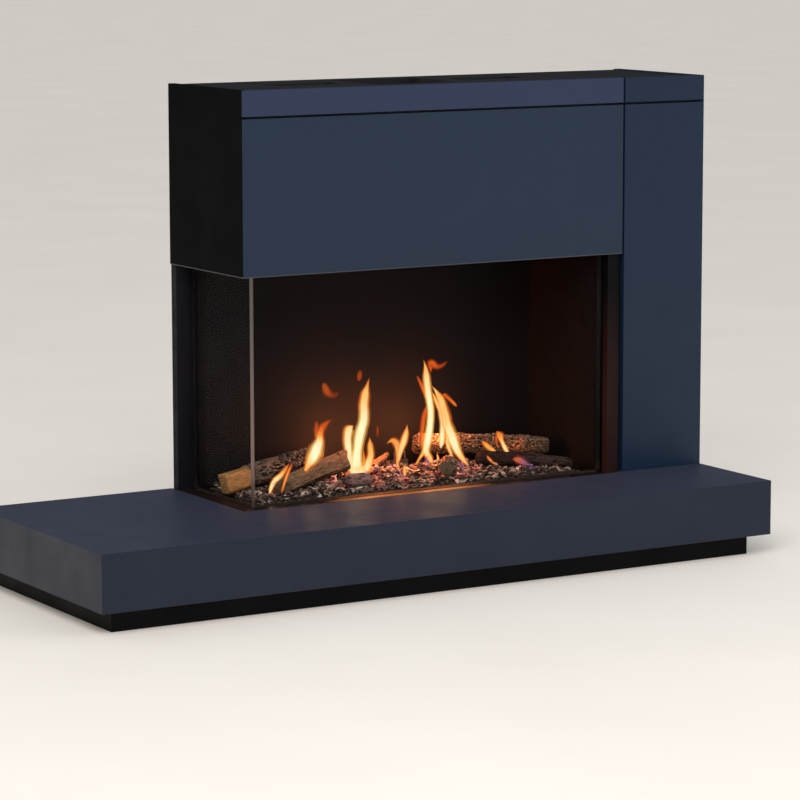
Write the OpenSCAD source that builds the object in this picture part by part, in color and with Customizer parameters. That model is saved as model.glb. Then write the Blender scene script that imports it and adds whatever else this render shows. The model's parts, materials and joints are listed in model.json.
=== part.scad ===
// Corner gas fireplace: a two-sided fire in a hood, a column and a hearth bench.
// Millimetres. X runs right along the front, Y runs back to the wall, Z is up.
// Sizes are given from the opening's front left corner, which lies on the outer
// faces of the hood, and from the floor. The module place() moves them so that
// the part's origin is the middle of its footprint.

/* [Fire opening] */
// Width of the opening along the front
opening_w = 1030; // [900:10:1300]
// Height of the opening, from hearth to hood
opening_h = 530; // [450:10:650]
// Depth of the opening's open left side, from the front to the wall
opening_d = 360; // [350:5:420]

/* [Hearth bench] */
// Height of the hearth top above the floor
hearth_z = 180; // [170:5:260]
// Height of the bench's front face
face_h = 130; // [100:5:140]
// How far the bench stands out in front of the hood
bench_out = 290; // [220:10:450]
// How far the bench runs on to the left of the hood
bench_left = 500; // [300:10:900]
// How far the plinth stands back under the face
plinth_set = 40; // [25:5:70]
// Thickness of the boards and panels
board_t = 18; // [16:1:20]
// Number of ribs inside the bench
rib_count = 7; // [5:1:9]

/* [Hood and column] */
// Height of the hood's front panel with its edge trim
hood_h = 356; // [340:1:600]
// Width of the shadow gaps between panels
shadow_gap = 5; // [3:1:7]
// Height of the band above the upper shadow gap
band_h = 59; // [45:1:200]
// Width of the structure right of the opening, gap and panel
column_w = 235; // [230:5:400]
// Thickness of the metal edge trim under the hood
trim_t = 2; // [1.5:0.5:3]
// Width of the square frame tubes
tube_w = 30; // [25:1:32]
// Wall of the square frame tubes
tube_t = 2; // [1.5:0.5:3]

/* [Glass] */
// Distance from the hood's front face to the front pane
front_inset = 30; // [28:1:34]
// Distance from the hood's left face to the side pane
side_inset = 36; // [32:1:38]
// Thickness of the ceramic glass
glass_t = 4; // [4:0.5:5]
// Height of the tilt pivots above the hood's lower edge
pivot_rise = 25; // [22:1:30]
// Radius of the pivot pins on the pane rails
pin_r = 3; // [2.5:0.5:3.5]
// Radial running clearance of the pins
pin_gap = 0.05; // [0.03:0.01:0.08]
// Thickness of the loose ledge strips
ledge_t = 3; // [2:0.5:4]

/* [Fire box] */
// Height of the combustion chamber above the hood's lower edge
chamber_rise = 120; // [110:5:150]
// Thickness of the chamber's sheet
liner_t = 3; // [2:0.5:4]
// Thickness of the casing's sheet
casing_t = 2; // [1.5:0.5:3]
// Distance from the chamber's back to the wall
back_set = 30; // [28:1:40]
// Height of the fire's floor tray above the floor
tray_z = 60; // [45:5:70]
// Distance from the burner pan to the chamber's right wall
pan_side = 60; // [50:5:100]
// Width of the burner pan
burner_w = 210; // [180:5:215]

/* [Flue] */
// Outer diameter of the air pipe
air_d = 150; // [130:10:200]
// Outer diameter of the flue gas pipe
gas_d = 100; // [80:10:110]
// Wall of both pipes
flue_wall = 1; // [0.8:0.2:1.5]
// Height of the air pipe above the casing
spigot_h = 58; // [50:2:70]

/* [Service side] */
// Width of the service door
door_w = 239; // [220:1:245]
// Height of the service door
door_h = 327; // [300:1:400]
// Height of the door's lower edge above the hearth
door_rise = 60; // [40:5:80]
// Reveal round the service door
door_gap = 3; // [3:0.5:4]
// Outer diameter of the gas supply pipe
supply_d = 15; // [12:1:18]
// Outer diameter of the burner pipe
burner_pipe_d = 8; // [6:1:10]

/* [Hidden] */
$fn = 48;

// Clearances: welded or glued seams, seats, and loose pieces
glue = 0.1;
seat = 0.2;
loose = 0.4;

// Outer limits, from the opening's front left corner
left_x = -bench_left;
right_x = opening_w + column_w;
front_y = -bench_out;
wall_y = opening_d;
plinth_h = hearth_z - face_h;
hood_z = hearth_z + opening_h;
seam_z = hood_z + hood_h;
band_z = seam_z + shadow_gap;
top_z = band_z + band_h;

// Cut-out in the bench for the fire, and the ledge that fills it
cut_gap = 1;
ledge_gap = 1;
strip_back = 1.6;

// Frame tubes stand behind the panels
frame_in = board_t + seat;
frame_top = top_z - board_t - 2;
rail_z = seam_z + shadow_gap/2 - tube_w/2;
col_x = opening_w + shadow_gap;
col_in = right_x - board_t;
col_tube_x = opening_w + 11;

// Panes, their pivots and the frame that they close against
pane_bottom = hearth_z + loose;
pivot_y = front_inset + glass_t/2;
pivot_x = side_inset + glass_t/2;
pivot_z = hood_z + pivot_rise;
pane_top = pivot_z - 9;
seal_y = front_inset + glass_t + 4;
seal_x = side_inset + glass_t + 4;
seal_t = 3;
pane_right = opening_w - 42;
pane_left = side_inset + glass_t + 3;
pane_rear = wall_y - back_set;
rail_side = 4.5;
rail_up = 4;
rail_down = 17;
lug_t = 5;
profile_d = 6;
profile_t = 0.8;
lug_r = 7;

// Chamber, posts and casing
jamb_x = opening_w - 35;
jamb_x1 = opening_w - ledge_gap;
jamb_y = 10;
liner_x = opening_w - 50;
liner_y = wall_y - back_set;
post_x = side_inset + 16;
ceiling_z = hood_z + chamber_rise;
casing_x0 = 60;
casing_x1 = opening_w - 8;
casing_y0 = 60;
casing_y1 = wall_y - 8;
casing_top_z = ceiling_z + liner_t + 152;

// Flue centre and relief flaps
flue_x = opening_w/2;
flue_y = 200;
flap_off = 245;
flap_w = 160;
flap_d = 122;
flap_y = flue_y - 75;
flap_t = 2;
flap_pin_r = 2;
flap_knuckle_r = 4;
flap_axis_y = flap_y + flap_d + 9;
flap_axis_z = ceiling_z + liner_t + 5;

// Burner pan, hung under the floor plate
pan_x = 100;
burner_l = liner_x - pan_side - pan_x;
pan_y = 92;
pan_t = 1.5;
pan_z = hearth_z - 30;
burner_x = [pan_x + 60, pan_x + burner_l - 60];
bed_x = [side_inset + 34, pan_x + burner_l + 30];
bed_y = [58, pan_y + burner_w + 6];
bed_low = hearth_z + 0.3;

// Feet under the tray
foot_r = 20;
foot_h = 5;
foot_nut = 6;
stud_r = 4.85;
leg_w = 30;
leg_z = foot_h + foot_nut + 0.3;

// Service side: control box, valve and door pivots
box_x0 = opening_w + 50;
box_x1 = opening_w + 180;
box_y = [80, 300];
box_rise = 70;
box_h = 310;
box_z = [hearth_z + box_rise, hearth_z + box_rise + box_h];
box_t = 2;
valve_x = [box_x0 + box_t + seat, box_x0 + 70];
valve_y = [130, 230];
control_z = hearth_z + 220;
valve_h = 80;
valve_z = [control_z - valve_h/2, control_z + valve_h/2];
knob_y = 160;
button_y = 205;
shaft_r = 4;
button_r = 6;
supply_x = box_x0 + 60;
supply_z = hearth_z + 110;
cock_y = [200, 240];
riser_x = casing_x1 - 19;
riser_y = pan_y + burner_w/2;
burner_z = 130;
outlet_x = box_x0 + 25;
door_y1 = wall_y - 51;
door_y0 = door_y1 - door_w;
door_z0 = hearth_z + door_rise;
door_z1 = door_z0 + door_h;
door_pivot = [right_x - 6, door_y1 - 7];
door_pin_r = 2.5;
door_pin_in = 14;
notch = 12;

// Moves the sizes above into the part's own frame
module place() {
    translate([-(left_x + right_x)/2, -(front_y + wall_y)/2, 0]) children();
}

// A box between limits on each axis
module block(x, y, z) {
    translate([x[0], y[0], z[0]]) cube([x[1] - x[0], y[1] - y[0], z[1] - z[0]]);
}

// A YZ outline run along X, an XZ outline along Y, and an XY outline along Z
module run_x(x, outline) {
    translate([x[0], 0, 0]) rotate([90, 0, 90]) linear_extrude(x[1] - x[0]) polygon(outline);
}
module run_y(y, outline) {
    translate([0, y[1], 0]) rotate([90, 0, 0]) linear_extrude(y[1] - y[0]) polygon(outline);
}
module run_z(z, outline) {
    translate([0, 0, z[0]]) linear_extrude(z[1] - z[0]) polygon(outline);
}

// Round bars between two places on one axis
module bar_x(x, y, z, r) {
    translate([x[0], y, z]) rotate([0, 90, 0]) cylinder(r = r, h = x[1] - x[0]);
}
module bar_y(x, y, z, r) {
    translate([x, y[1], z]) rotate([90, 0, 0]) cylinder(r = r, h = y[1] - y[0]);
}
module bar_z(x, y, z, r) {
    translate([x, y, z[0]]) cylinder(r = r, h = z[1] - z[0]);
}

// Square tubes of the frames, named for the axis that they run along
module tube_along_x(x, y, z) {
    difference() {
        block(x, [y, y + tube_w], [z, z + tube_w]);
        block([x[0] - 1, x[1] + 1], [y + tube_t, y + tube_w - tube_t],
              [z + tube_t, z + tube_w - tube_t]);
    }
}
module tube_along_y(x, y, z) {
    difference() {
        block([x, x + tube_w], y, [z, z + tube_w]);
        block([x + tube_t, x + tube_w - tube_t], [y[0] - 1, y[1] + 1],
              [z + tube_t, z + tube_w - tube_t]);
    }
}
module tube_along_z(x, y, z) {
    difference() {
        block([x, x + tube_w], [y, y + tube_w], z);
        block([x + tube_t, x + tube_w - tube_t], [y + tube_t, y + tube_w - tube_t],
              [z[0] - 1, z[1] + 1]);
    }
}

// ---- Hearth bench ----

// The cut-out that takes the fire, open at the wall
module fire_cut(z) {
    block([-cut_gap, opening_w + cut_gap], [-cut_gap, wall_y + 1], z);
}

module bench_top() {
    low = hearth_z - board_t;
    color([0.20, 0.22, 0.29]) place() difference() {
        intersection() {
            run_x([left_x, right_x], [[front_y, hearth_z], [wall_y, hearth_z],
                  [wall_y, low], [front_y + board_t, low]]);
            run_y([front_y, wall_y], [[left_x, hearth_z], [right_x, hearth_z],
                  [right_x - board_t, low], [left_x + board_t, low]]);
        }
        fire_cut([low - 1, hearth_z + 1]);
    }
}

module bench_front() {
    color([0.16, 0.20, 0.27]) place() intersection() {
        run_x([left_x, right_x], [[front_y, plinth_h], [front_y, hearth_z - glue],
              [front_y + board_t, hearth_z - board_t - glue], [front_y + board_t, plinth_h]]);
        run_z([plinth_h, hearth_z], [[left_x + glue, front_y], [right_x - glue, front_y],
              [right_x - board_t - glue, front_y + board_t],
              [left_x + board_t + glue, front_y + board_t]]);
    }
}

module bench_end() {
    intersection() {
        run_y([front_y, wall_y], [[left_x, plinth_h], [left_x, hearth_z - glue],
              [left_x + board_t, hearth_z - board_t - glue], [left_x + board_t, plinth_h]]);
        run_z([plinth_h, hearth_z], [[left_x, front_y + glue], [left_x, wall_y],
              [left_x + board_t, wall_y], [left_x + board_t, front_y + board_t + glue]]);
    }
}

module bench_ends() {
    color([0.16, 0.20, 0.27]) place() {
        bench_end();
        translate([left_x + right_x, 0, 0]) mirror([1, 0, 0]) bench_end();
    }
}

module bench_bottom() {
    color([0.10, 0.10, 0.11]) place() difference() {
        block([left_x + board_t + glue, right_x - board_t - glue],
              [front_y + board_t + glue, wall_y], [plinth_h, plinth_h + board_t]);
        fire_cut([plinth_h - 1, plinth_h + board_t + 1]);
    }
}

module bench_ribs() {
    back_cut = -cut_gap - 20;
    first = left_x + 110;
    last = right_x - 110;
    color([0.55, 0.47, 0.36]) place() for (i = [0 : rib_count - 1]) {
        x = first + (last - first)*i/(rib_count - 1);
        clear = x + board_t/2 < -cut_gap - 5 || x - board_t/2 > opening_w + cut_gap + 5;
        block([x - board_t/2, x + board_t/2],
              [front_y + board_t + glue, clear ? wall_y - 5 : back_cut],
              [plinth_h + board_t, hearth_z - board_t]);
    }
}

module plinth() {
    px0 = left_x + plinth_set;
    px1 = right_x - plinth_set;
    py = front_y + plinth_set;
    color([0.03, 0.03, 0.035]) place() {
        block([px0, px1], [py, py + board_t], [0, plinth_h]);
        block([px0, px0 + board_t], [py + board_t + glue, wall_y], [0, plinth_h]);
        block([px1 - board_t, px1], [py + board_t + glue, wall_y], [0, plinth_h]);
        block([px0 + board_t + glue, px1 - board_t - glue], [-45, -45 + board_t], [0, plinth_h]);
    }
}

// ---- Hood and column panels ----

module hood_front_panel() {
    color([0.20, 0.24, 0.32]) place() run_z([hood_z + trim_t, seam_z],
        [[glue, 0], [opening_w, 0], [opening_w, board_t], [board_t + glue, board_t]]);
}

module hood_cheek_panel() {
    color([0.05, 0.05, 0.055]) place() run_z([hood_z + trim_t, top_z],
        [[0, glue], [0, wall_y], [board_t, wall_y], [board_t, board_t + glue]]);
}

// The angle under the panels: a flat that shows, and a leg behind the board
module trim_outline(far) {
    leg = board_t + seat;
    run_y([0, far], [[0, hood_z], [leg + 1.5, hood_z], [leg + 1.5, hood_z + 25],
          [leg, hood_z + 25], [leg, hood_z + trim_t - glue], [0, hood_z + trim_t - glue]]);
}
module hood_edge_trim() {
    far = board_t + 5;
    color([0.55, 0.55, 0.56]) place() {
        difference() {
            trim_outline(wall_y);
            run_z([hood_z - 1, hood_z + 30],
                  [[-1, -1], [far, far], [far + 30, far - 30], [0, -30]]);
        }
        difference() {
            mirror([1, -1, 0]) trim_outline(opening_w);
            run_z([hood_z - 1, hood_z + 30],
                  [[-1, -1 - glue], [far, far - glue], [far - 30, far + 30], [-30, 0]]);
        }
    }
}

module band_front_panel() {
    color([0.18, 0.23, 0.31]) place() run_z([band_z, top_z],
        [[glue, 0], [opening_w, 0], [opening_w, board_t], [board_t + glue, board_t]]);
}

// Outline of the panels right of the opening, mitred at the outer corner
function column_outline() = [[col_x, 0], [right_x - glue, 0],
    [right_x - board_t - glue, board_t], [col_x, board_t]];

module band_right_panel() {
    color([0.15, 0.19, 0.27]) place() run_z([band_z, top_z], column_outline());
}

module column_front_panel() {
    color([0.15, 0.19, 0.26]) place() run_z([hearth_z, seam_z], column_outline());
}

// Four boards glued round the door's opening, the first mitred at the outer corner
module column_side_panel() {
    x = [right_x - board_t, right_x];
    y = [door_y0 - door_gap, door_y1 + door_gap];
    color([0.15, 0.19, 0.26]) place() difference() {
        union() {
            run_z([hearth_z, top_z], [[right_x, glue], [right_x, y[0]], [x[0], y[0]],
                  [x[0], board_t + glue]]);
            block(x, [y[1], wall_y], [hearth_z, top_z]);
            for (z = [[hearth_z, door_z0 - door_gap], [door_z1 + door_gap, top_z]])
                block(x, [y[0] + glue, y[1] - glue], z);
        }
        bar_z(door_pivot[0], door_pivot[1],
              [door_z0 - door_gap - door_pin_in, door_z1 + door_gap + door_pin_in],
              door_pin_r + 0.02);
    }
}

// Board with a square finger cut-out in the middle of its free edge
module service_door() {
    middle = (door_z0 + door_z1)/2;
    color([0.15, 0.19, 0.26]) place() difference() {
        union() {
            for (z = [[door_z0, middle - notch], [middle + notch, door_z1]])
                block([right_x - board_t, right_x], [door_y0, door_y1], z);
            block([right_x - board_t, right_x], [door_y0 + notch, door_y1],
                  [middle - notch + glue, middle + notch - glue]);
        }
        for (z = [door_z0, door_z1])
            bar_z(door_pivot[0], door_pivot[1], [z - door_pin_in - 1, z + door_pin_in + 1],
                  door_pin_r + 0.06);
    }
}

module door_pivots() {
    reach = door_pin_in - 1;
    color([0.6, 0.6, 0.62]) place() {
        bar_z(door_pivot[0], door_pivot[1], [door_z0 - door_gap - reach, door_z0 + reach],
              door_pin_r);
        bar_z(door_pivot[0], door_pivot[1], [door_z1 - reach, door_z1 + door_gap + reach],
              door_pin_r);
    }
}

// ---- Frames inside the hood and the column ----

frame_low = ceiling_z + 10;
frame_back = wall_y - tube_w - 2;
col_tube_x1 = col_in - seat - tube_w;
bolt_hole_r = 5;
bolt_apart = 800;
bolt_x = [opening_w/2 - bolt_apart/2, opening_w/2 + bolt_apart/2];

module hood_frame() {
    right = opening_w - tube_w - 2;
    between = [frame_in + tube_w + glue, frame_back - glue];
    color([0.12, 0.12, 0.13]) place() {
        for (z = [frame_low, rail_z]) {
            tube_along_x([frame_in + tube_w + glue, right - glue], frame_in, z);
            tube_along_y(frame_in, between, z);
        }
        tube_along_z(frame_in, frame_in, [frame_low, frame_top]);
        tube_along_z(right, frame_in, [frame_low, frame_top]);
        tube_along_z(frame_in, frame_back, [frame_low, frame_top]);
        difference() {
            tube_along_x([frame_in + tube_w + glue, col_tube_x - glue], frame_back, rail_z);
            for (x = bolt_x)
                bar_y(x, [frame_back - 1, wall_y], rail_z + tube_w/2, bolt_hole_r);
        }
    }
}

module column_frame() {
    between = [frame_in + tube_w + glue, frame_back - glue];
    color([0.12, 0.12, 0.13]) place() {
        for (x = [col_tube_x, col_tube_x1]) {
            for (y = [frame_in, frame_back]) tube_along_z(x, y, [hearth_z, frame_top]);
            tube_along_y(x, between, rail_z);
        }
        for (y = [frame_in, frame_back])
            tube_along_x([col_tube_x + tube_w + glue, col_tube_x1 - glue], y, rail_z);
        tube_along_y(col_tube_x1, between, door_z1 + 50);
        block([jamb_x1 + seat, col_tube_x - glue],
              [frame_in + tube_w - tube_t, frame_in + tube_w], [hearth_z, frame_top]);
    }
}

module top_board() {
    hole = air_d/2 + 35;
    vent = [180, 80];
    through = [frame_top - 1, frame_top + board_t + 1];
    color([0.10, 0.10, 0.11]) place() difference() {
        block([frame_in, col_in - seat], [frame_in, wall_y], [frame_top, frame_top + board_t]);
        block([flue_x - hole, flue_x + hole], [flue_y - hole, flue_y + hole], through);
        for (side = [-1, 1]) translate([flue_x + side*(hole + 140), flue_y, 0])
            block([-vent[0]/2, vent[0]/2], [-vent[1]/2, vent[1]/2], through);
    }
}

// ---- Tray, feet and floor of the fire ----

tray_top = hearth_z - ledge_t - 3;
leg_x = [casing_x0 + 10, casing_x1 - 10 - leg_w];
leg_y = [casing_y0, casing_y1 - leg_w - 20];
function foot_place(i) = [leg_x[i % 2] + leg_w/2, leg_y[floor(i/2)] + leg_w/2];

module leg(x, y) {
    difference() {
        block([x, x + leg_w], [y, y + leg_w], [leg_z, tray_z - glue]);
        block([x + 2, x + leg_w - 2], [y + 2, y + leg_w - 2], [leg_z + 6, tray_z]);
        bar_z(x + leg_w/2, y + leg_w/2, [leg_z - 1, leg_z + 7], stud_r + 0.05);
    }
}

module base_tray() {
    x = [seal_x, casing_x1];
    y = [seal_y + 2, casing_y1];
    wall = [tray_z + casing_t + glue, tray_top - glue];
    flange = [tray_top, hearth_z - ledge_t - seat];
    inner = 60;
    color([0.13, 0.13, 0.14]) place() {
        block(x, y, [tray_z, tray_z + casing_t]);
        block(x, [y[0], y[0] + casing_t], wall);
        block(x, [y[1] - casing_t, y[1]], wall);
        block([x[0], x[0] + casing_t], [y[0] + casing_t + glue, y[1] - casing_t - glue], wall);
        block([x[1] - casing_t, x[1]], [y[0] + casing_t + glue, y[1] - casing_t - glue], wall);
        block([ledge_gap + 1, opening_w - 2], [ledge_gap + 1, inner], flange);
        block([ledge_gap + 1, inner], [inner + glue, wall_y - 2], flange);
        for (i = [0 : 3]) leg(leg_x[i % 2], leg_y[floor(i/2)]);
    }
}

module levelling_foot(i) {
    p = foot_place(i);
    color([0.62, 0.63, 0.65]) place() {
        bar_z(p[0], p[1], [0, foot_h], foot_r);
        translate([p[0], p[1], foot_h]) cylinder(r = 9, h = foot_nut, $fn = 6);
        bar_z(p[0], p[1], [foot_h, tray_z - 8], stud_r);
    }
}
module levelling_foot_1() { levelling_foot(0); }
module levelling_foot_2() { levelling_foot(1); }
module levelling_foot_3() { levelling_foot(2); }
module levelling_foot_4() { levelling_foot(3); }

module floor_plate() {
    x = [side_inset - 0.5, casing_x1];
    y = [front_inset - 0.5, casing_y1];
    z = [hearth_z - ledge_t, hearth_z];
    px = [pan_x, pan_x + burner_l];
    py = [pan_y, pan_y + burner_w];
    color([0.06, 0.06, 0.065]) place() {
        block(x, [y[0], py[0]], z);
        block(x, [py[1], y[1]], z);
        block([x[0], px[0]], [py[0] + glue, py[1] - glue], z);
        difference() {
            block([px[1], x[1]], [py[0] + glue, py[1] - glue], z);
            bar_z(riser_x, riser_y, [z[0] - 1, z[1] + 1], burner_pipe_d/2 + 0.5);
        }
    }
}

// ---- Chamber ----

module chamber_liner() {
    z = [hearth_z + glue, ceiling_z - glue];
    color([0.07, 0.065, 0.065]) place() {
        block([post_x + glue, liner_x + liner_t], [liner_y, liner_y + liner_t], z);
        block([liner_x, liner_x + liner_t], [seal_y + seal_t + glue, liner_y - glue], z);
    }
}

module flap_ears(cx) {
    for (s = [-1, 1]) translate([cx + s*49, 0, 0])
        block([-3, 3], [flap_axis_y - 6, flap_axis_y + 6],
              [ceiling_z + liner_t - 0.5, flap_axis_z + 6]);
    bar_x([cx - 55, cx + 55], flap_axis_y, flap_axis_z, flap_pin_r);
}

module chamber_ceiling() {
    plate = [ceiling_z, ceiling_z + liner_t];
    color([0.07, 0.065, 0.065]) place() {
        difference() {
            block([seal_x, liner_x + liner_t + 2], [seal_y, liner_y + liner_t], plate);
            bar_z(flue_x, flue_y, [ceiling_z - 1, ceiling_z + liner_t + 1],
                  gas_d/2 - flue_wall);
            for (s = [-1, 1]) translate([flue_x + s*flap_off, 0, 0])
                block([-flap_w/2 + 10, flap_w/2 - 10], [flap_y + 10, flap_y + flap_d - 12],
                      [ceiling_z - 1, ceiling_z + liner_t + 1]);
        }
        for (s = [-1, 1]) flap_ears(flue_x + s*flap_off);
    }
}

// A relief flap: plate, hinge tab and knuckle, lying on its opening
module relief_flap(cx) {
    low = ceiling_z + liner_t + seat;
    color([0.42, 0.42, 0.43]) place() difference() {
        union() {
            block([cx - flap_w/2, cx + flap_w/2], [flap_y, flap_y + flap_d], [low, low + flap_t]);
            block([cx - 38, cx + 38], [flap_y, flap_axis_y], [low, low + flap_t]);
            bar_x([cx - 38, cx + 38], flap_axis_y, flap_axis_z, flap_knuckle_r);
        }
        bar_x([cx - 40, cx + 40], flap_axis_y, flap_axis_z, flap_pin_r + 0.06);
    }
}
module relief_flap_left() { relief_flap(flue_x - flap_off); }
module relief_flap_right() { relief_flap(flue_x + flap_off); }

// A folded post of sheet, closed round
module sheet_post(x, y, z) {
    difference() {
        block(x, y, z);
        block([x[0] + casing_t, x[1] - casing_t], [y[0] + casing_t, y[1] - casing_t],
              [z[0] - 1, z[1] + 1]);
    }
}

post_top = hood_z + 49;

// Two posts at the wall: one behind the side pane, and one that covers the hood's corner
module rear_jamb() {
    y = [pane_rear + 2, wall_y - 4];
    color([0.055, 0.055, 0.06]) place() {
        sheet_post([side_inset - loose, post_x], y, [hearth_z + glue, post_top]);
        sheet_post([ledge_gap, side_inset - 1], y, [hearth_z - ledge_t, hood_z - seat]);
    }
}

// A post behind the front pane, and a cover in front of it that stands beside the pane
module right_jamb() {
    front = front_inset - 0.6;
    color([0.09, 0.07, 0.07]) place() {
        sheet_post([jamb_x, jamb_x1], [front, casing_y0 - glue], [hearth_z + glue, post_top]);
        sheet_post([jamb_x, jamb_x1], [jamb_y, front - glue],
                   [hearth_z - ledge_t, hood_z - seat]);
    }
}

lug_x = [pane_left + 2, pane_right + 1];
lug_y = [front_inset + 15, pane_rear - 4];

module lintel_frame() {
    low = hood_z + 2;
    high = ceiling_z - glue;
    color([0.06, 0.06, 0.065]) place() {
        block([seal_x, jamb_x - glue], [seal_y, seal_y + seal_t], [low, high]);
        block([seal_x, seal_x + seal_t], [seal_y + seal_t + glue, pane_rear + 2 - glue],
              [low, high]);
        block([liner_x + liner_t + glue, jamb_x - glue], [seal_y, seal_y + seal_t],
              [hearth_z + glue, low - glue]);
        block([seal_x, seal_x + seal_t], [pane_rear - 25, pane_rear + 2 - glue],
              [hearth_z + glue, low - glue]);
        for (x = lug_x) difference() {
            block([x, x + lug_t], [pivot_y - lug_r, seal_y - glue],
                  [pivot_z - lug_r, pivot_z + lug_r]);
            bar_x([x - 1, x + lug_t + 1], pivot_y, pivot_z, pin_r + pin_gap);
        }
        for (y = lug_y) difference() {
            block([pivot_x - lug_r, seal_x - glue], [y, y + lug_t],
                  [pivot_z - lug_r, pivot_z + lug_r]);
            bar_y(pivot_x, [y - 1, y + lug_t + 1], pivot_z, pin_r + pin_gap);
        }
    }
}

// Flat sealing strips on the uprights and along the floor, just behind the panes
module glass_gasket() {
    y = [front_inset + glass_t + seat, seal_y - glue];
    x = [side_inset + glass_t + seat, seal_x - glue];
    low = hearth_z + glue;
    color([0.03, 0.03, 0.03]) place() {
        block([pane_right - 6, pane_right + 4], y, [low + 5, hood_z]);
        block([seal_x, pane_right - 6 - glue], y, [low, low + 4]);
        block(x, [pane_rear - 12, pane_rear - 2], [low + 5, hood_z]);
        block(x, [front_inset + profile_d + loose, pane_rear - 12 - glue], [low, low + 4]);
    }
}

module front_ledge_strip() {
    y = [ledge_gap, front_inset - strip_back];
    x = [ledge_gap, side_inset - strip_back];
    right = jamb_x - ledge_gap;
    color([0.05, 0.05, 0.055]) place() run_z([hearth_z - ledge_t, hearth_z],
        [[x[0], y[0]], [right, y[0]], [right, y[1]], [x[1], y[1]]]);
}

module side_ledge_strip() {
    y = [ledge_gap, front_inset - strip_back];
    x = [ledge_gap, side_inset - strip_back];
    rear = pane_rear + 2 - loose;
    color([0.05, 0.05, 0.055]) place() run_z([hearth_z - ledge_t, hearth_z],
        [[x[0], y[0] + loose], [x[1], y[1] + loose], [x[1], rear], [x[0], rear]]);
}

// ---- Panes ----

module front_glass() {
    color([0.75, 0.80, 0.82, 0.25]) place()
        block([pane_left, pane_right], [front_inset, front_inset + glass_t],
              [pane_bottom, pane_top]);
}

module side_glass() {
    color([0.75, 0.80, 0.82, 0.25]) place()
        block([side_inset, side_inset + glass_t], [front_inset + glue, pane_rear],
              [pane_bottom, pane_top]);
}

module front_glass_rail() {
    x = [lug_x[0] + lug_t + 1, lug_x[1] - 1];
    color([0.30, 0.30, 0.31]) place() {
        difference() {
            block(x, [pivot_y - rail_side, pivot_y + rail_side],
                  [pivot_z - rail_down, pivot_z + rail_up]);
            block([x[0] - 1, x[1] + 1], [front_inset - glue, front_inset + glass_t + glue],
                  [pivot_z - rail_down - 1, pane_top + glue]);
        }
        bar_x([lug_x[0], x[0] + 0.5], pivot_y, pivot_z, pin_r);
        bar_x([x[1] - 0.5, lug_x[1] + lug_t], pivot_y, pivot_z, pin_r);
    }
}

module side_glass_rail() {
    y = [lug_y[0] + lug_t + 1, lug_y[1] - 1];
    color([0.30, 0.30, 0.31]) place() {
        difference() {
            block([pivot_x - rail_side, pivot_x + rail_side], y,
                  [pivot_z - rail_down, pivot_z + rail_up]);
            block([side_inset - glue, side_inset + glass_t + glue], [y[0] - 1, y[1] + 1],
                  [pivot_z - rail_down - 1, pane_top + glue]);
        }
        bar_y(pivot_x, [lug_y[0], y[0] + 0.5], pivot_z, pin_r);
        bar_y(pivot_x, [y[1] - 0.5, lug_y[1] + lug_t], pivot_z, pin_r);
    }
}

module corner_profile() {
    color([0.62, 0.60, 0.60]) place() difference() {
        block([side_inset - profile_t, side_inset + glass_t + profile_t],
              [front_inset - profile_t, front_inset + profile_d], [pane_bottom + 0.2, hood_z + 6]);
        block([side_inset - glue, side_inset + glass_t + glue],
              [front_inset, front_inset + profile_d + 1], [pane_bottom - 1, hood_z + 7]);
    }
}

// ---- Casing and flue ----

module casing_shell() {
    back = [casing_y1 - casing_t, casing_y1];
    side = [casing_x1 - casing_t, casing_x1];
    full = [hearth_z + glue, casing_top_z - glue];
    upper = [ceiling_z + liner_t + glue, casing_top_z - glue];
    inside = back[0] - glue;
    color([0.45, 0.46, 0.47]) place() {
        block([casing_x0, side[1]], back, full);
        difference() {
            block(side, [casing_y0 + casing_t + glue, inside], full);
            bar_x([side[0] - 1, side[1] + 1], riser_y, supply_z, burner_pipe_d/2 + 0.5);
        }
        block([casing_x0, side[1]], [casing_y0, casing_y0 + casing_t], upper);
        block([casing_x0, casing_x0 + casing_t], [casing_y0 + casing_t + glue, inside], upper);
    }
}

module casing_top() {
    color([0.45, 0.46, 0.47]) place() difference() {
        block([casing_x0, casing_x1], [casing_y0, casing_y1],
              [casing_top_z, casing_top_z + casing_t]);
        bar_z(flue_x, flue_y, [casing_top_z - 1, casing_top_z + casing_t + 1],
              air_d/2 - flue_wall);
    }
}

// A plate that spreads the flames' heat, hung from the ceiling by two straps
baffle_w = 600;
baffle_drop = 50;
module baffle_plate() {
    z = ceiling_z - baffle_drop;
    strap_x = baffle_w/2 - 100;
    color([0.07, 0.065, 0.065]) place() {
        block([flue_x - baffle_w/2, flue_x + baffle_w/2], [pan_y + 18, liner_y - seat],
              [z, z + liner_t]);
        for (s = [-1, 1]) translate([flue_x + s*strap_x, 0, 0])
            block([-7.5, 7.5], [liner_y - 15, liner_y - seat],
                  [z + liner_t + glue, ceiling_z - seat]);
    }
}

module flue_air_pipe() {
    base = casing_top_z + casing_t;
    color([0.66, 0.67, 0.69]) place() difference() {
        union() {
            bar_z(flue_x, flue_y, [base, base + 2], air_d/2 + 15);
            bar_z(flue_x, flue_y, [base, base + spigot_h], air_d/2);
        }
        bar_z(flue_x, flue_y, [base - 1, base + spigot_h + 1], air_d/2 - flue_wall);
    }
}

module flue_gas_pipe() {
    base = ceiling_z + liner_t;
    top = casing_top_z + casing_t + spigot_h + 15;
    color([0.66, 0.67, 0.69]) place() difference() {
        union() {
            bar_z(flue_x, flue_y, [base, base + 2], gas_d/2 + 10);
            bar_z(flue_x, flue_y, [base, top], gas_d/2);
        }
        bar_z(flue_x, flue_y, [base - 1, top + 1], gas_d/2 - flue_wall);
    }
}

// ---- Burner, embers and logs ----

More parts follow.
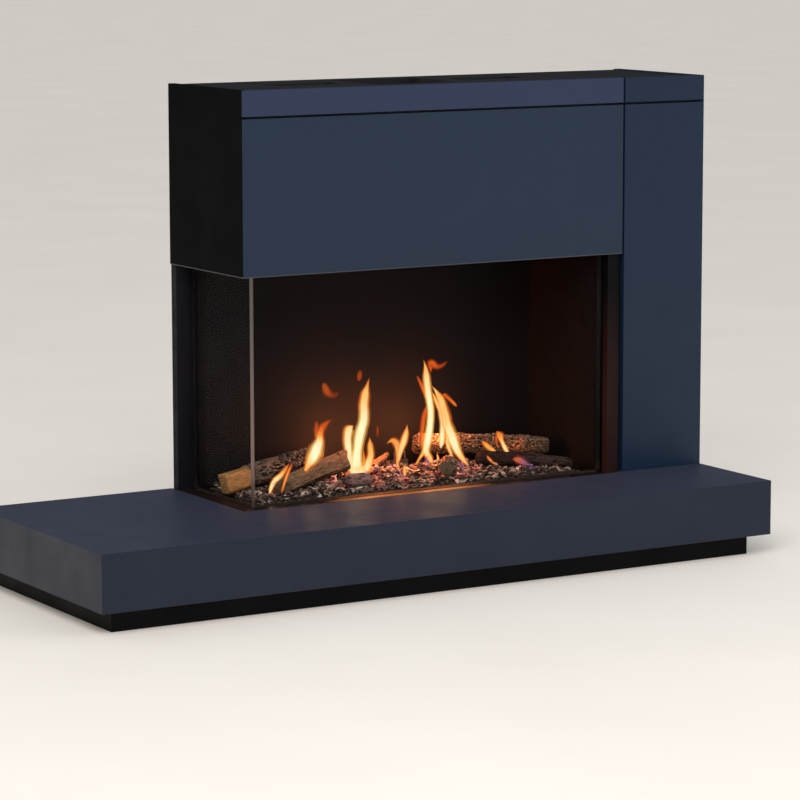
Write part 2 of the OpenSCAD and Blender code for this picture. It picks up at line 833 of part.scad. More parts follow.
module burner_pan() {
    x = [pan_x + seat, pan_x + burner_l - seat];
    y = [pan_y + seat, pan_y + burner_w - seat];
    wall = [pan_z + pan_t + glue, hearth_z - 1];
    rim = [hearth_z - ledge_t - pan_t - glue, hearth_z - ledge_t - glue];
    color([0.16, 0.16, 0.17]) place() {
        block(x, y, [pan_z, pan_z + pan_t]);
        block(x, [y[0], y[0] + pan_t], wall);
        block(x, [y[1] - pan_t, y[1]], wall);
        block([x[0], x[0] + pan_t], [y[0] + pan_t + glue, y[1] - pan_t - glue], wall);
        block([x[1] - pan_t, x[1]], [y[0] + pan_t + glue, y[1] - pan_t - glue], wall);
        for (edge = [y[0] - 8, y[1] + glue])
            block(x, [edge, edge + 8 - glue], rim);
    }
}

module burner_tube() {
    risers = 4;
    first = burner_x[0] + 70;
    last = burner_x[1] - 70;
    color([0.35, 0.35, 0.36]) place() {
        bar_x(burner_x, riser_y, burner_z, 9);
        for (i = [0 : risers - 1])
            bar_z(first + (last - first)*i/(risers - 1), riser_y, [burner_z, pan_z - seat], 5);
    }
}

module pilot_assembly() {
    x = flue_x + 60;
    y = bed_y[1] + 6;
    color([0.50, 0.50, 0.51]) place() {
        block([x, x + 44], [y, y + 6], [hearth_z + 0.1, hearth_z + 22]);
        bar_z(x + 10, y + 3, [hearth_z + 22, hearth_z + 44], 5);
        bar_z(x + 24, y + 3, [hearth_z + 22, hearth_z + 40], 2.5);
        bar_z(x + 36, y + 3, [hearth_z + 22, hearth_z + 42], 2);
    }
}

// The bed of chips: a low mound over the plate with its filling in the pan
bed_nx = 26;
bed_ny = 9;
function bed_height(u, v) = 3.4 + 1.3*sin(u*2300 + v*410)*cos(v*700 + u*310)
    + 0.9*sin(u*5100 + v*1900);
function bed_edge(u, v) = min(1, 14*u, 14*(1 - u), 6*v, 6*(1 - v));
function bed_point(i, j) = let (u = i/bed_nx, v = j/bed_ny)
    [bed_x[0] + u*(bed_x[1] - bed_x[0]), bed_y[0] + v*(bed_y[1] - bed_y[0]),
     bed_low + 1 + max(0, bed_edge(u, v))*bed_height(u, v)];
module bed_mound() {
    cols = bed_ny + 1;
    count = (bed_nx + 1)*cols;
    upper = [for (i = [0 : bed_nx]) for (j = [0 : bed_ny]) bed_point(i, j)];
    lower = [for (p = upper) [p[0], p[1], bed_low]];
    quads = [for (i = [0 : bed_nx - 1]) for (j = [0 : bed_ny - 1]) i*cols + j];
    rim_a = [for (i = [0 : bed_nx - 1]) [i*cols, (i + 1)*cols]];
    rim_b = [for (j = [0 : bed_ny - 1]) [bed_nx*cols + j, bed_nx*cols + j + 1]];
    rim_c = [for (i = [bed_nx : -1 : 1]) [i*cols + bed_ny, (i - 1)*cols + bed_ny]];
    rim_d = [for (j = [bed_ny : -1 : 1]) [j, j - 1]];
    rim = concat(rim_a, rim_b, rim_c, rim_d);
    faces = concat(
        [for (q = quads) [q, q + cols + 1, q + cols]],
        [for (q = quads) [q, q + 1, q + cols + 1]],
        [for (e = rim) [e[0], e[1], count + e[1]]],
        [for (e = rim) [e[0], count + e[1], count + e[0]]],
        [for (q = quads) [count + q, count + q + cols, count + q + cols + 1]],
        [for (q = quads) [count + q, count + q + cols + 1, count + q + 1]]);
    polyhedron(concat(upper, lower), faces);
}
// A block cast in the bed under one ring of a log, for the log to rest on
rest_half = 4;
module log_rest(i, ring, wider) {
    low = log_ring(log_end(i, 0), log_end(i, 1), logs[i][2], ring/(log_rings - 1), i + 1)[9];
    slope = logs[i][1] - logs[i][0];
    drop = seat + rest_half*1.5*abs(slope[2])/norm([slope[0], slope[1]]);
    half = rest_half + wider;
    block([low[0] - half, low[0] + half], [low[1] - half, low[1] + half],
          [bed_low - 100*wider, low[2] - drop]);
}
module log_rests(wider) {
    for (i = [0 : len(logs) - 1]) for (ring = [1, log_rings - 2]) log_rest(i, ring, wider);
}

module ember_bed() {
    color([0.30, 0.27, 0.26]) place() {
        difference() {
            bed_mound();
            log_rests(glue);
        }
        log_rests(0);
        block([pan_x + 3, pan_x + burner_l - 3], [pan_y + 3, pan_y + burner_w - 3],
              [pan_z + pan_t + seat, bed_low - glue]);
    }
}

// A log: rings round a line from end to end, uneven as bark is
log_sides = 12;
log_rings = 9;
function unit(v) = v/norm(v);
function log_radius(a, s, seed) = 1 + 0.07*sin(2*a + seed*40) + 0.05*sin(3*a + 200*s + seed*77)
    + 0.04*sin(5*a - 330*s + seed*19);
function log_ring(p, q, r, s, seed) = let (w = unit(q - p), u = unit(cross([0, 0, 1], w)),
    v = cross(w, u), c = p + (q - p)*s, rr = r[0] + (r[1] - r[0])*s)
    [for (k = [0 : log_sides - 1]) let (a = 360*k/log_sides)
        c + rr*log_radius(a, s, seed)*(cos(a)*u + sin(a)*v)];
module log_shape(p, q, r, seed) {
    n = log_sides;
    points = [for (i = [0 : log_rings - 1]) each log_ring(p, q, r, i/(log_rings - 1), seed)];
    faces = concat(
        [for (i = [0 : log_rings - 2]) for (k = [0 : n - 1]) let (m = (k + 1) % n)
            [i*n + k, i*n + m, (i + 1)*n + m]],
        [for (i = [0 : log_rings - 2]) for (k = [0 : n - 1]) let (m = (k + 1) % n)
            [i*n + k, (i + 1)*n + m, (i + 1)*n + k]],
        [[for (k = [n - 1 : -1 : 0]) k], [for (k = [0 : n - 1]) (log_rings - 1)*n + k]]);
    polyhedron(points, faces);
}

// Each log: the ends of its centre line, counted up from the hearth, and its radii.
// Logs left of the split keep their distance from the bed's left end, and the others
// from its right end
heap_split = 450;
logs_bed = [70, 950];
function log_shift(i) = let (end = logs[i][0][0] < heap_split ? 0 : 1)
    bed_x[end] - logs_bed[end];
function log_end(i, end) = logs[i][end] + [log_shift(i), 0, hearth_z];
logs = [
    [[50, 200, 28], [340, 279, 58], [22, 23]],
    [[140, 100, 23], [384, 206, 58], [14, 23]],
    [[612, 282, 66], [925, 184, 46], [22, 20]],
    [[742, 194, 30], [942, 84, 24], [17, 14]],
    [[322, 105, 24], [405, 125, 25], [14, 15]],
    [[492, 250, 24], [527, 262, 50], [12, 8]],
    [[612, 122, 27], [650, 172, 31], [17, 17]]
];
module one_log(i) {
    log_shape(log_end(i, 0), log_end(i, 1), logs[i][2], i + 1);
}
module log_back_left() { color([0.30, 0.24, 0.19]) place() one_log(0); }
module log_front_left() { color([0.36, 0.28, 0.21]) place() one_log(1); }
module log_back_right() { color([0.33, 0.28, 0.23]) place() one_log(2); }
module log_front_right() { color([0.37, 0.30, 0.24]) place() one_log(3); }
module small_logs() {
    color([0.32, 0.25, 0.20]) place() for (i = [4 : 6]) one_log(i);
}

// ---- Gas controls in the column ----

// An open box; the supply pipe comes in by a slot in its back wall
module control_box() {
    x = [box_x0, box_x1];
    inner = [box_x0 + box_t + glue, box_x1];
    wall_z = [box_z[0] + box_t + glue, box_z[1] - box_t - glue];
    back = [box_y[1] - box_t, box_y[1]];
    slot_half = supply_d/2 + 2;
    slot_x = supply_x - slot_half - glue;
    color([0.40, 0.41, 0.42]) place() {
        difference() {
            block([x[0], x[0] + box_t], box_y, box_z);
            bar_x([x[0] - 1, x[0] + box_t + 1], riser_y, supply_z, burner_pipe_d/2 + 0.5);
        }
        block(inner, box_y, [box_z[0], box_z[0] + box_t]);
        block(inner, box_y, [box_z[1] - box_t, box_z[1]]);
        block(inner, [box_y[0], box_y[0] + box_t], wall_z);
        block([inner[0], slot_x], back, wall_z);
        block([slot_x + glue, inner[1]], back, [wall_z[0], supply_z - slot_half]);
        block([slot_x + glue, inner[1]], back, [supply_z + slot_half, wall_z[1]]);
        for (z = [box_z[0] + 20, box_z[1] - 30])
            block([casing_x1 + seat, box_x0 - glue], [casing_y0 + 60, casing_y0 + 90], [z, z + 3]);
    }
}

module gas_valve() {
    color([0.62, 0.62, 0.60]) place() {
        difference() {
            block(valve_x, valve_y, valve_z);
            bar_x([valve_x[1] - 26, valve_x[1] + 1], button_y, control_z, button_r + 0.1);
        }
        bar_x([valve_x[1] - 0.5, valve_x[1] + 16], knob_y, control_z, shaft_r);
    }
}

module control_knob() {
    x = [valve_x[1] + 1, valve_x[1] + 24];
    color([0.05, 0.05, 0.05]) place() difference() {
        union() {
            bar_x([x[0], x[0] + 6], knob_y, control_z, 20);
            bar_x([x[0] + 5, x[1]], knob_y, control_z, 15);
            block([x[1] - 6, x[1]], [knob_y - 3, knob_y + 3], [control_z, control_z + 18]);
        }
        bar_x([x[0] - 1, x[0] + 17], knob_y, control_z, shaft_r + 0.06);
    }
}

module piezo_button() {
    color([0.55, 0.10, 0.08]) place() {
        bar_x([valve_x[1] - 18, valve_x[1] + 9], button_y, control_z, button_r);
        bar_x([valve_x[1] + 9, valve_x[1] + 13], button_y, control_z, button_r + 2);
    }
}

module shutoff_cock() {
    mid = (cock_y[0] + cock_y[1])/2;
    color([0.72, 0.60, 0.28]) place() {
        bar_y(supply_x, cock_y, supply_z, 13);
        bar_x([supply_x, supply_x + 19], mid, supply_z, 6);
        bar_x([supply_x + 18, supply_x + 27], mid, supply_z, 3);
    }
}

module cock_lever() {
    mid = (cock_y[0] + cock_y[1])/2;
    x = [supply_x + 19.5, supply_x + 23.5];
    color([0.75, 0.62, 0.10]) place() difference() {
        union() {
            bar_x(x, mid, supply_z, 8);
            block(x, [mid - 52, mid], [supply_z - 6, supply_z + 6]);
            bar_x(x, mid - 52, supply_z, 6);
        }
        bar_x([x[0] - 1, x[1] + 1], mid, supply_z, 3.06);
    }
}

// A run of pipe through points, each leg along one axis, with fittings at the bends
module pipe_leg(a, b, r) {
    d = b - a;
    if (d[0] != 0) bar_x([min(a[0], b[0]), max(a[0], b[0])], a[1], a[2], r);
    if (d[1] != 0) bar_y(a[0], [min(a[1], b[1]), max(a[1], b[1])], a[2], r);
    if (d[2] != 0) bar_z(a[0], a[1], [min(a[2], b[2]), max(a[2], b[2])], r);
}
module pipe_run(points, r) {
    last = len(points) - 1;
    for (i = [0 : last - 1]) pipe_leg(points[i], points[i + 1], r);
    for (i = [1 : last - 1]) translate(points[i]) sphere(r = r*1.3);
}

module gas_pipes() {
    r = supply_d/2;
    elbow_y = 105;
    color([0.72, 0.42, 0.26]) place() {
        bar_y(supply_x, [cock_y[1] + glue, wall_y - 1], supply_z, r);
        pipe_run([[supply_x, cock_y[0] - glue, supply_z], [supply_x, elbow_y, supply_z],
                  [supply_x, elbow_y, control_z], [supply_x, valve_y[0] - glue, control_z]],
                 r*0.7);
        pipe_run([[outlet_x, riser_y, valve_z[0] - glue], [outlet_x, riser_y, supply_z],
                  [riser_x, riser_y, supply_z], [riser_x, riser_y, burner_z],
                  [burner_x[1] + glue, riser_y, burner_z]], burner_pipe_d/2);
    }
}

bench_top();
bench_front();
bench_ends();
bench_bottom();
bench_ribs();
plinth();
hood_front_panel();
hood_cheek_panel();
hood_edge_trim();
band_front_panel();
band_right_panel();
column_front_panel();
column_side_panel();
service_door();
door_pivots();
hood_frame();
column_frame();
top_board();
base_tray();
levelling_foot_1();
levelling_foot_2();
levelling_foot_3();
levelling_foot_4();
floor_plate();
chamber_liner();
chamber_ceiling();
rear_jamb();
right_jamb();
lintel_frame();
glass_gasket();
front_ledge_strip();
side_ledge_strip();
front_glass();
front_glass_rail();
side_glass();
side_glass_rail();
corner_profile();
casing_shell();
casing_top();
baffle_plate();
relief_flap_left();
relief_flap_right();
flue_air_pipe();
flue_gas_pipe();
burner_pan();
burner_tube();
pilot_assembly();
ember_bed();
log_back_left();
log_front_left();
log_back_right();
log_front_right();
small_logs();
control_box();
gas_valve();
control_knob();
piezo_button();
shutoff_cock();
cock_lever();
gas_pipes();
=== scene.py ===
import json
import math
import random

import bpy
import numpy as np
from mathutils import Matrix, Vector, noise


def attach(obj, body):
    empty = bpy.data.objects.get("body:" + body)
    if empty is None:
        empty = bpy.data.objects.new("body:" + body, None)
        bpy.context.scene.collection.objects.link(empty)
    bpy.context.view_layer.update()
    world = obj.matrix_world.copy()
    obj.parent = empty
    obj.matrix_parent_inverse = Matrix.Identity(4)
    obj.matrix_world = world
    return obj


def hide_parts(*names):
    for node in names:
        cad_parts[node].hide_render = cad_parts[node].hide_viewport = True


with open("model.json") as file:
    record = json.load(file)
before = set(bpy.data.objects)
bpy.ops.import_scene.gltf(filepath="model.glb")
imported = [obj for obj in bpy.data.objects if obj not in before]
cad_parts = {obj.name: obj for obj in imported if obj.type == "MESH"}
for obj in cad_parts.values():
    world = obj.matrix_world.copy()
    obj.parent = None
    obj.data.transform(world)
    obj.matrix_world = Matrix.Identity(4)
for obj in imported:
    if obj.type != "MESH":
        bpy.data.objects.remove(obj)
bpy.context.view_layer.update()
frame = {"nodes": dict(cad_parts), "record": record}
nodes = frame["nodes"]
scene = bpy.context.scene

# The opening's front left corner in the shared frame, in metres
CORNER = Vector((-0.3825, -0.035, 0.0))
# The hearth's top above the floor, in millimetres
HEARTH = 180.0


def at(x, y, z):
    """A place given from that corner in millimetres, as a point of the shared frame."""
    return CORNER + Vector((x, y, z)) / 1000


# ---- Camera: the photograph's angle, fitted to its edges ----

CAM_PLACE = at(-3534.5, -6608.1, 1550.8)
CAM_TILT, CAM_ROLL, CAM_YAW = 8.48, 0.09, 30.84
LENS, SENSOR, FRAME_PX = 151.2, 36.0, 800
FOCAL_PX = LENS / SENSOR * FRAME_PX

cam_data = bpy.data.cameras.new("camera")
cam_data.lens = LENS
cam_data.sensor_width = SENSOR
cam_data.clip_start, cam_data.clip_end = 0.1, 60
camera = bpy.data.objects.new("camera", cam_data)
camera.location = CAM_PLACE
camera.rotation_euler = tuple(math.radians(d) for d in (90 - CAM_TILT, CAM_ROLL, -CAM_YAW))
scene.collection.objects.link(camera)
scene.camera = camera
bpy.context.view_layer.update()
cam_right, cam_up, cam_ahead = (
    camera.matrix_world.to_3x3() @ Vector(v) for v in ((1, 0, 0), (0, 1, 0), (0, 0, -1)))
cam_level = Vector((cam_ahead.x, cam_ahead.y, 0)).normalized()


def pixel_ray(px, py):
    """The direction from the camera through a pixel of the photograph's frame."""
    return cam_ahead * FOCAL_PX + cam_right * (px - FRAME_PX / 2) - cam_up * (py - FRAME_PX / 2)


def on_plane(px, py, base):
    """The point seen at a pixel, on the upright plane through base that faces the camera."""
    ray = pixel_ray(px, py)
    return CAM_PLACE + ray * ((base - CAM_PLACE).dot(cam_level) / ray.dot(cam_level))


def on_level(px, py, z):
    """The place seen at a pixel, z above the floor, from the opening's corner in millimetres."""
    ray = pixel_ray(px, py)
    point = CAM_PLACE + ray * ((z / 1000 - CAM_PLACE.z) / ray.z)
    return (point - CORNER) * 1000


# ---- Materials ----

# How much paint, metal and other surfaces vary in tone
CLOUDING, MOTTLE, TOOTH = 0.07, 0.12, 0.1
# Where a look changes in the shared frame, in metres: up the glass corner's profile and up the
# right upright, where their painted glow of the fire fades out; up the gasket from the hearth;
# and at the front pane's inner face, behind which the right upright's painted glow gives way to
# near-black
PROFILE_GLOW_FADE, UPRIGHT_GLOW_FADE = (0.25, 0.6), (0.36, 0.64)
GASKET_FADE = (HEARTH / 1000 + 0.004, HEARTH / 1000 + 0.03)
PANE_GLOW_FADE = (-0.0065, -0.0050)

def linear(r, g, b):
    """Display values from 0 to 255 as linear colour."""
    return tuple(((c / 255 + 0.055) / 1.055) ** 2.4 if c > 10 else c / 255 / 12.92
                 for c in (r, g, b)) + (1.0,)


def set_stops(ramp, stops):
    """Fill a colour ramp from (place, colour) pairs."""
    els = ramp.elements
    els[0].position, els[-1].position = stops[0][0], stops[-1][0]
    for place, _ in stops[1:-1]:
        els.new(place)
    for e, (_, col) in zip(els, stops):
        e.color = col if len(col) == 4 else (*col, 1)


class Look:
    """A Principled material with a few short words for its node tree."""

    def __init__(self, name, rough=0.5, metal=0.0, spec=0.5):
        self.m = bpy.data.materials.new(name)
        self.m.use_nodes = True
        self.tree = self.m.node_tree
        self.bsdf = self.tree.nodes["Principled BSDF"]
        self.set("Roughness", rough)
        self.set("Metallic", metal)
        self.set("Specular IOR Level", spec)
        self.coords = self.tree.nodes.new("ShaderNodeTexCoord").outputs["Object"]
        self.height = None

    def set(self, socket, value):
        self.bsdf.inputs[socket].default_value = value

    def put(self, socket, out):
        self.tree.links.new(out, self.bsdf.inputs[socket])

    def node(self, kind, ins=(), **attrs):
        """A node with its attributes, and with a plain value or a link at each input."""
        n = self.tree.nodes.new(kind)
        for k, v in attrs.items():
            setattr(n, k, v)
        for k, v in dict(ins).items():
            if hasattr(v, "is_output"):
                self.tree.links.new(v, n.inputs[k])
            else:
                n.inputs[k].default_value = v
        return n

    def place(self, axis):
        """The X, Y or Z of a surface point in the shared frame, in metres."""
        return self.node("ShaderNodeSeparateXYZ", {"Vector": self.coords}).outputs[axis]

    def noise(self, scale, detail=3.0, rough=0.55, stretch=None):
        where = self.coords
        if stretch:
            where = self.node("ShaderNodeMapping", {"Vector": where, "Scale": stretch}).outputs[0]
        return self.node("ShaderNodeTexNoise", {
            "Vector": where, "Scale": scale, "Detail": detail, "Roughness": rough}).outputs["Fac"]

    def ramp(self, fac, stops):
        n = self.node("ShaderNodeValToRGB", {"Fac": fac})
        set_stops(n.color_ramp, stops)
        return n.outputs["Color"]

    def span(self, fac, low, high, a=0.0, b=1.0):
        return self.node("ShaderNodeMapRange", {
            "Value": fac, "From Min": a, "From Max": b, "To Min": low, "To Max": high}).outputs[0]

    def mix(self, fac, a, b):
        """From a to b; the colour sockets of the node are numbers 6, 7 and 2."""
        return self.node("ShaderNodeMix", {0: fac, 6: a, 7: b}, data_type="RGBA").outputs[2]

    def math(self, how, a, b):
        return self.node("ShaderNodeMath", {0: a, 1: b}, operation=how).outputs[0]

    def attribute(self, name):
        return self.node("ShaderNodeAttribute", attribute_name=name).outputs["Fac"]

    def bump(self, height, strength, distance):
        ins = {"Height": height, "Strength": strength, "Distance": distance}
        if self.height is not None:
            ins["Normal"] = self.height
        self.height = self.node("ShaderNodeBump", ins).outputs[0]
        self.put("Normal", self.height)


def tint(colour, k):
    """A colour made lighter or darker by a factor."""
    return tuple(min(1.0, c * k) for c in colour[:3]) + (1.0,)


def lacquer(name, colour, rough, spec):
    """Sprayed satin lacquer on board: faint clouding, fine orange peel, rubbed patches."""
    k = Look(name, rough, spec=spec)
    clouds = k.noise(2.6, 4.0)
    fine = k.noise(340.0, 2.0)
    body = k.mix(clouds, tint(colour, 1 - CLOUDING), tint(colour, 1 + CLOUDING))
    k.put("Base Color", k.mix(k.span(fine, 0.0, 0.35, 0.35, 0.75), body, tint(colour, 0.86)))
    k.put("Roughness", k.span(k.noise(9.0, 5.0), rough - 0.06, rough + 0.07, 0.3, 0.7))
    k.bump(k.noise(520.0, 2.0), 0.10, 0.0004)
    return k.m


def board(name, colour, dark):
    """Raw fibreboard with its felted fibres."""
    k = Look(name, 0.8, spec=0.25)
    fibres = k.noise(220.0, 4.0, 0.7, (1, 1, 2.4))
    k.put("Base Color", k.mix(k.span(fibres, 0.0, 1.0, 0.3, 0.7), dark, colour))
    k.bump(fibres, 0.35, 0.0006)
    return k.m


def sheet_metal(name, colour, rough, metal=0.0, grain=None, spec=0.5, above=None):
    """Coated or bare sheet: mottled tone, and a surface brushed along the grain or sprayed.

    above is its unlit colour high over the fire; where it is given, colour is a painted glow of the
    fire.
    """
    k = Look(name, rough, metal, spec)
    mottle = k.noise(14.0, 5.0, 0.6)
    tone = k.mix(mottle, tint(colour, 1 - MOTTLE), tint(colour, 1 + MOTTLE))
    # Painted glow of the fire: the colour low down fades up to the unlit colour above
    if above:
        tone = k.mix(k.span(k.place("Z"), 0.0, 1.0, *PROFILE_GLOW_FADE), tone, above)
    k.put("Base Color", tone)
    if grain:
        lines = k.noise(60.0, 3.0, 0.6, grain)
        k.put("Roughness", k.span(lines, rough - 0.08, rough + 0.12, 0.3, 0.7))
        k.bump(lines, 0.12, 0.0002)
    else:
        k.put("Roughness", k.span(k.noise(40.0, 3.0), rough - 0.05, rough + 0.08, 0.3, 0.7))
        k.bump(k.noise(700.0, 2.0), 0.16, 0.0003)
    return k.m


def galvanised(name):
    """Zinc with its spangle of crystal grains."""
    k = Look(name, 0.42, 0.85)
    grains = k.node("ShaderNodeTexVoronoi", {"Vector": k.coords, "Scale": 70.0, "Randomness": 1.0})
    tone = k.math("MULTIPLY", grains.outputs["Color"], 1.0)  # from a colour to a number
    k.put("Base Color", k.ramp(tone, [(0.0, linear(122, 126, 130)), (1.0, linear(172, 176, 180))]))
    k.put("Roughness", k.span(tone, 0.34, 0.55))
    return k.m


def plain_noise(name, colour, rough, metal=0.0, scale=120.0):
    """A moulded, cast or drawn surface with fine tooth."""
    k = Look(name, rough, metal)
    k.put("Base Color", k.mix(k.noise(scale / 4, 4.0), tint(colour, 1 - TOOTH),
                              tint(colour, 1 + TOOTH)))
    k.put("Roughness", k.span(k.noise(scale / 2, 3.0), rough - 0.05, rough + 0.08, 0.3, 0.7))
    k.bump(k.noise(scale * 4, 3.0), 0.25, 0.0003)
    return k.m


def heat_black(name, colour, rough=0.55, above=None, inside=None):
    """Heat-proof paint, browned a little where it is hottest.

    above is its unlit colour high over the fire, and inside its unlit colour behind the front
    pane's inner face; where they are given, colour is a painted glow of the fire.
    """
    k = Look(name, rough, spec=0.15)
    patch = k.noise(6.0, 5.0, 0.6)
    brown = tint((colour[0] * 1.5, colour[1], colour[2] * 0.8), 1.2)
    browning_and_glow = k.mix(k.span(patch, 0.0, 0.6, 0.4, 0.7), colour, brown)
    # Painted glow of the fire: the colour fades to the unlit colour above, and behind the pane's
    # inner face to the unlit colour inside
    if above:
        browning_and_glow = k.mix(k.span(k.place("Z"), 0.0, 1.0, *UPRIGHT_GLOW_FADE), browning_and_glow, above)
    if inside:
        browning_and_glow = k.mix(k.span(k.place("Y"), 0.0, 1.0, *PANE_GLOW_FADE), browning_and_glow, inside)
    k.put("Base Color", browning_and_glow)
    k.put("Roughness", k.span(k.noise(30.0, 4.0), rough - 0.08, rough + 0.1, 0.3, 0.7))
    k.bump(k.noise(420.0, 3.0), 0.06, 0.0005)
    return k.m


def woven_gasket(name, upper, lower):
    """Glass-fibre tape, browned by the fire where it lies on the floor."""
    k = Look(name, 0.7, spec=0.3)
    tape = k.mix(k.span(k.place("Z"), 0.0, 1.0, *GASKET_FADE), lower, upper)
    weave = k.noise(300.0, 2.0)
    k.put("Base Color", k.mix(k.span(weave, 0.0, 0.5, 0.35, 0.65), tape, tint(lower, 0.4)))
    k.bump(weave, 0.25, 0.001)
    return k.m


def clear_glass(name):
    """Coated ceramic glass, with a trace of soot in its tint."""
    k = Look(name, 0.0, spec=0.0)
    k.put("Base Color", k.mix(k.noise(18.0, 4.0), (0.90, 0.91, 0.92, 1), (0.98, 0.98, 0.98, 1)))
    k.set("Transmission Weight", 1.0)
    k.set("IOR", 1.03)
    return k.m


LOOKS = {
    "hearth": lacquer("slate_lacquer_hearth", linear(50, 55, 72), 0.42, 0.4),
    # The bench's front and ends: the hearth's lacquer painted darker, as painted shade
    "hearth_face": lacquer("slate_lacquer_face_painted_shade", linear(20, 28, 44), 0.44, 0.35),
    # One lacquer on the hood, band and column: the band is painted lighter and the column darker
    # than the hood, as painted light and shade
    "hood": lacquer("slate_lacquer_hood", linear(24, 39, 57), 0.46, 0.35),
    "band": lacquer("slate_lacquer_band_painted_light", linear(36, 46, 71), 0.46, 0.35),
    "column": lacquer("slate_lacquer_column_painted_shade", linear(17, 33, 53), 0.46, 0.35),
    "cheek": lacquer("black_lacquer_cheek", linear(10, 10, 11), 0.5, 0.02),
    "plinth": lacquer("black_lacquer_plinth", linear(8, 8, 9), 0.6, 0.12),
    "board": board("fibreboard", linear(170, 136, 98), linear(138, 106, 72)),
    "top": lacquer("black_lacquer_top", linear(32, 32, 34), 0.6, 0.3),
    "edge": sheet_metal("edge_metal", linear(98, 101, 110), 0.38, 0.8, (1, 40, 40)),
    "frame": sheet_metal("frame_primer", linear(38, 38, 40), 0.5),
    "gloss": sheet_metal("black_enamel", linear(30, 23, 21), 0.24, 0.5, spec=0.5),
    "gloss_side": sheet_metal("black_enamel_side", linear(32, 21, 19), 0.5, 0.0, spec=0.15),
    "tray": sheet_metal("tray_powder", linear(46, 46, 48), 0.5),
    "chamber": heat_black("chamber_black", linear(12, 12, 13)),
    "jamb_rear": heat_black("upright_black", linear(15, 16, 22)),
    # The right upright's brown is a painted glow of the fire; high up and behind the front pane's
    # inner face it is near-black
    "jamb_right": heat_black("upright_brown_painted_glow", linear(32, 20, 19), 0.55, linear(5, 5, 8),
                             linear(7, 7, 10)),
    "casing": galvanised("galvanised_sheet"),
    "zinc": plain_noise("zinc_plate", linear(178, 180, 176), 0.32, 0.9),
    "glass": clear_glass("ceramic_glass"),
    "rail": sheet_metal("rail_paint", linear(54, 54, 56), 0.45),
    # The corner profile's pinkish colour low down is a painted glow of the fire; above is its unlit
    # grey steel
    "corner": sheet_metal("corner_steel", linear(166, 134, 126), 0.34, 0.9, (40, 40, 1),
                          above=linear(116, 110, 106)),
    "gasket": woven_gasket("woven_gasket", linear(12, 11, 11), linear(44, 33, 27)),
    "burner": plain_noise("burner_steel", linear(120, 112, 106), 0.45, 0.8),
    "valve": plain_noise("cast_valve", linear(170, 170, 166), 0.5, 0.7, 160.0),
    "knob": plain_noise("knob_plastic", linear(26, 26, 27), 0.55, 0.0, 200.0),
    "button": plain_noise("button_plastic", linear(170, 26, 18), 0.3, 0.0, 200.0),
    "brass": plain_noise("cock_brass", linear(196, 164, 96), 0.34, 0.9),
    "lever": plain_noise("lever_enamel", linear(214, 176, 30), 0.4, 0.0),
    "copper": plain_noise("copper_pipe", linear(196, 122, 88), 0.34, 0.9),
}
SLOT_LOOKS = {
    "hearth_board": "hearth", "hood_board": "hood", "cheek_board": "cheek",
    "plinth_board": "plinth",
    "inner_board": "board", "top_board_black": "top", "edge_metal": "edge", "frame_steel": "frame",
    "dark_sheet": "gloss", "tray_sheet": "tray", "chamber_sheet": "chamber",
    "casing_sheet": "casing",
    "zinc_steel": "zinc", "pane_glass": "glass", "rail_steel": "rail", "corner_steel": "corner",
    "gasket_cord": "gasket", "burner_steel": "burner", "valve_metal": "valve",
    "knob_plastic": "knob", "button_plastic": "button", "cock_brass": "brass",
    "lever_paint": "lever", "pipe_copper": "copper",
}
# Looks for single nodes: the bench's front and ends, the band and the column take darker or lighter
# copies of their slot's lacquer, as painted shade and light
NODE_LOOKS = {
    "bench_front": "hearth_face", "bench_ends": "hearth_face", "band_front_panel": "band",
    "band_right_panel": "column", "column_front_panel": "column", "column_side_panel": "column",
    "service_door": "column", "rear_jamb": "jamb_rear", "right_jamb": "jamb_right",
    "side_ledge_strip": "gloss_side",
}
slot_of = {s["node"]: s["material_slot"] for s in frame["record"]["subparts"]}
for name, obj in nodes.items():
    look = NODE_LOOKS.get(name) or SLOT_LOOKS.get(slot_of[name])
    if look:
        obj.data.materials.clear()
        obj.data.materials.append(LOOKS[look])

# ---- Edges of the boards and bars: a small round, in millimetres ----

ROUNDS = {
    "bench_top": 0.8, "bench_front": 0.8, "bench_ends": 0.8, "hood_front_panel": 0.7,
    "hood_cheek_panel": 0.7, "band_front_panel": 0.7, "band_right_panel": 0.7,
    "column_front_panel": 0.7, "column_side_panel": 0.7, "service_door": 0.7, "plinth": 0.8,
    "top_board": 0.6, "corner_profile": 0.25, "hood_edge_trim": 0.25, "front_glass_rail": 0.4,
    "side_glass_rail": 0.4, "gas_valve": 1.2, "control_knob": 0.6, "control_box": 0.4,
    "front_ledge_strip": 0.25, "side_ledge_strip": 0.25, "hood_frame": 0.5, "column_frame": 0.5,
}
for name, width in ROUNDS.items():
    weld = nodes[name].modifiers.new("weld", "WELD")
    weld.merge_threshold = 0.00002
    bevel = nodes[name].modifiers.new("round", "BEVEL")
    bevel.width = width / 1000
    bevel.segments = 2
    bevel.limit_method = "ANGLE"
    bevel.angle_limit = math.radians(50)
    bevel.harden_normals = True

# ---- Meshes made in code ----


def mesh_object(name, verts, faces, look, body="fireplace"):
    mesh = bpy.data.meshes.new(name)
    mesh.from_pydata([tuple(v) for v in verts], [], faces)
    mesh.update()
    mesh.polygons.foreach_set("use_smooth", [True] * len(mesh.polygons))
    obj = bpy.data.objects.new(name, mesh)
    obj.data.materials.append(look)
    scene.collection.objects.link(obj)
    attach(obj, body)
    return obj


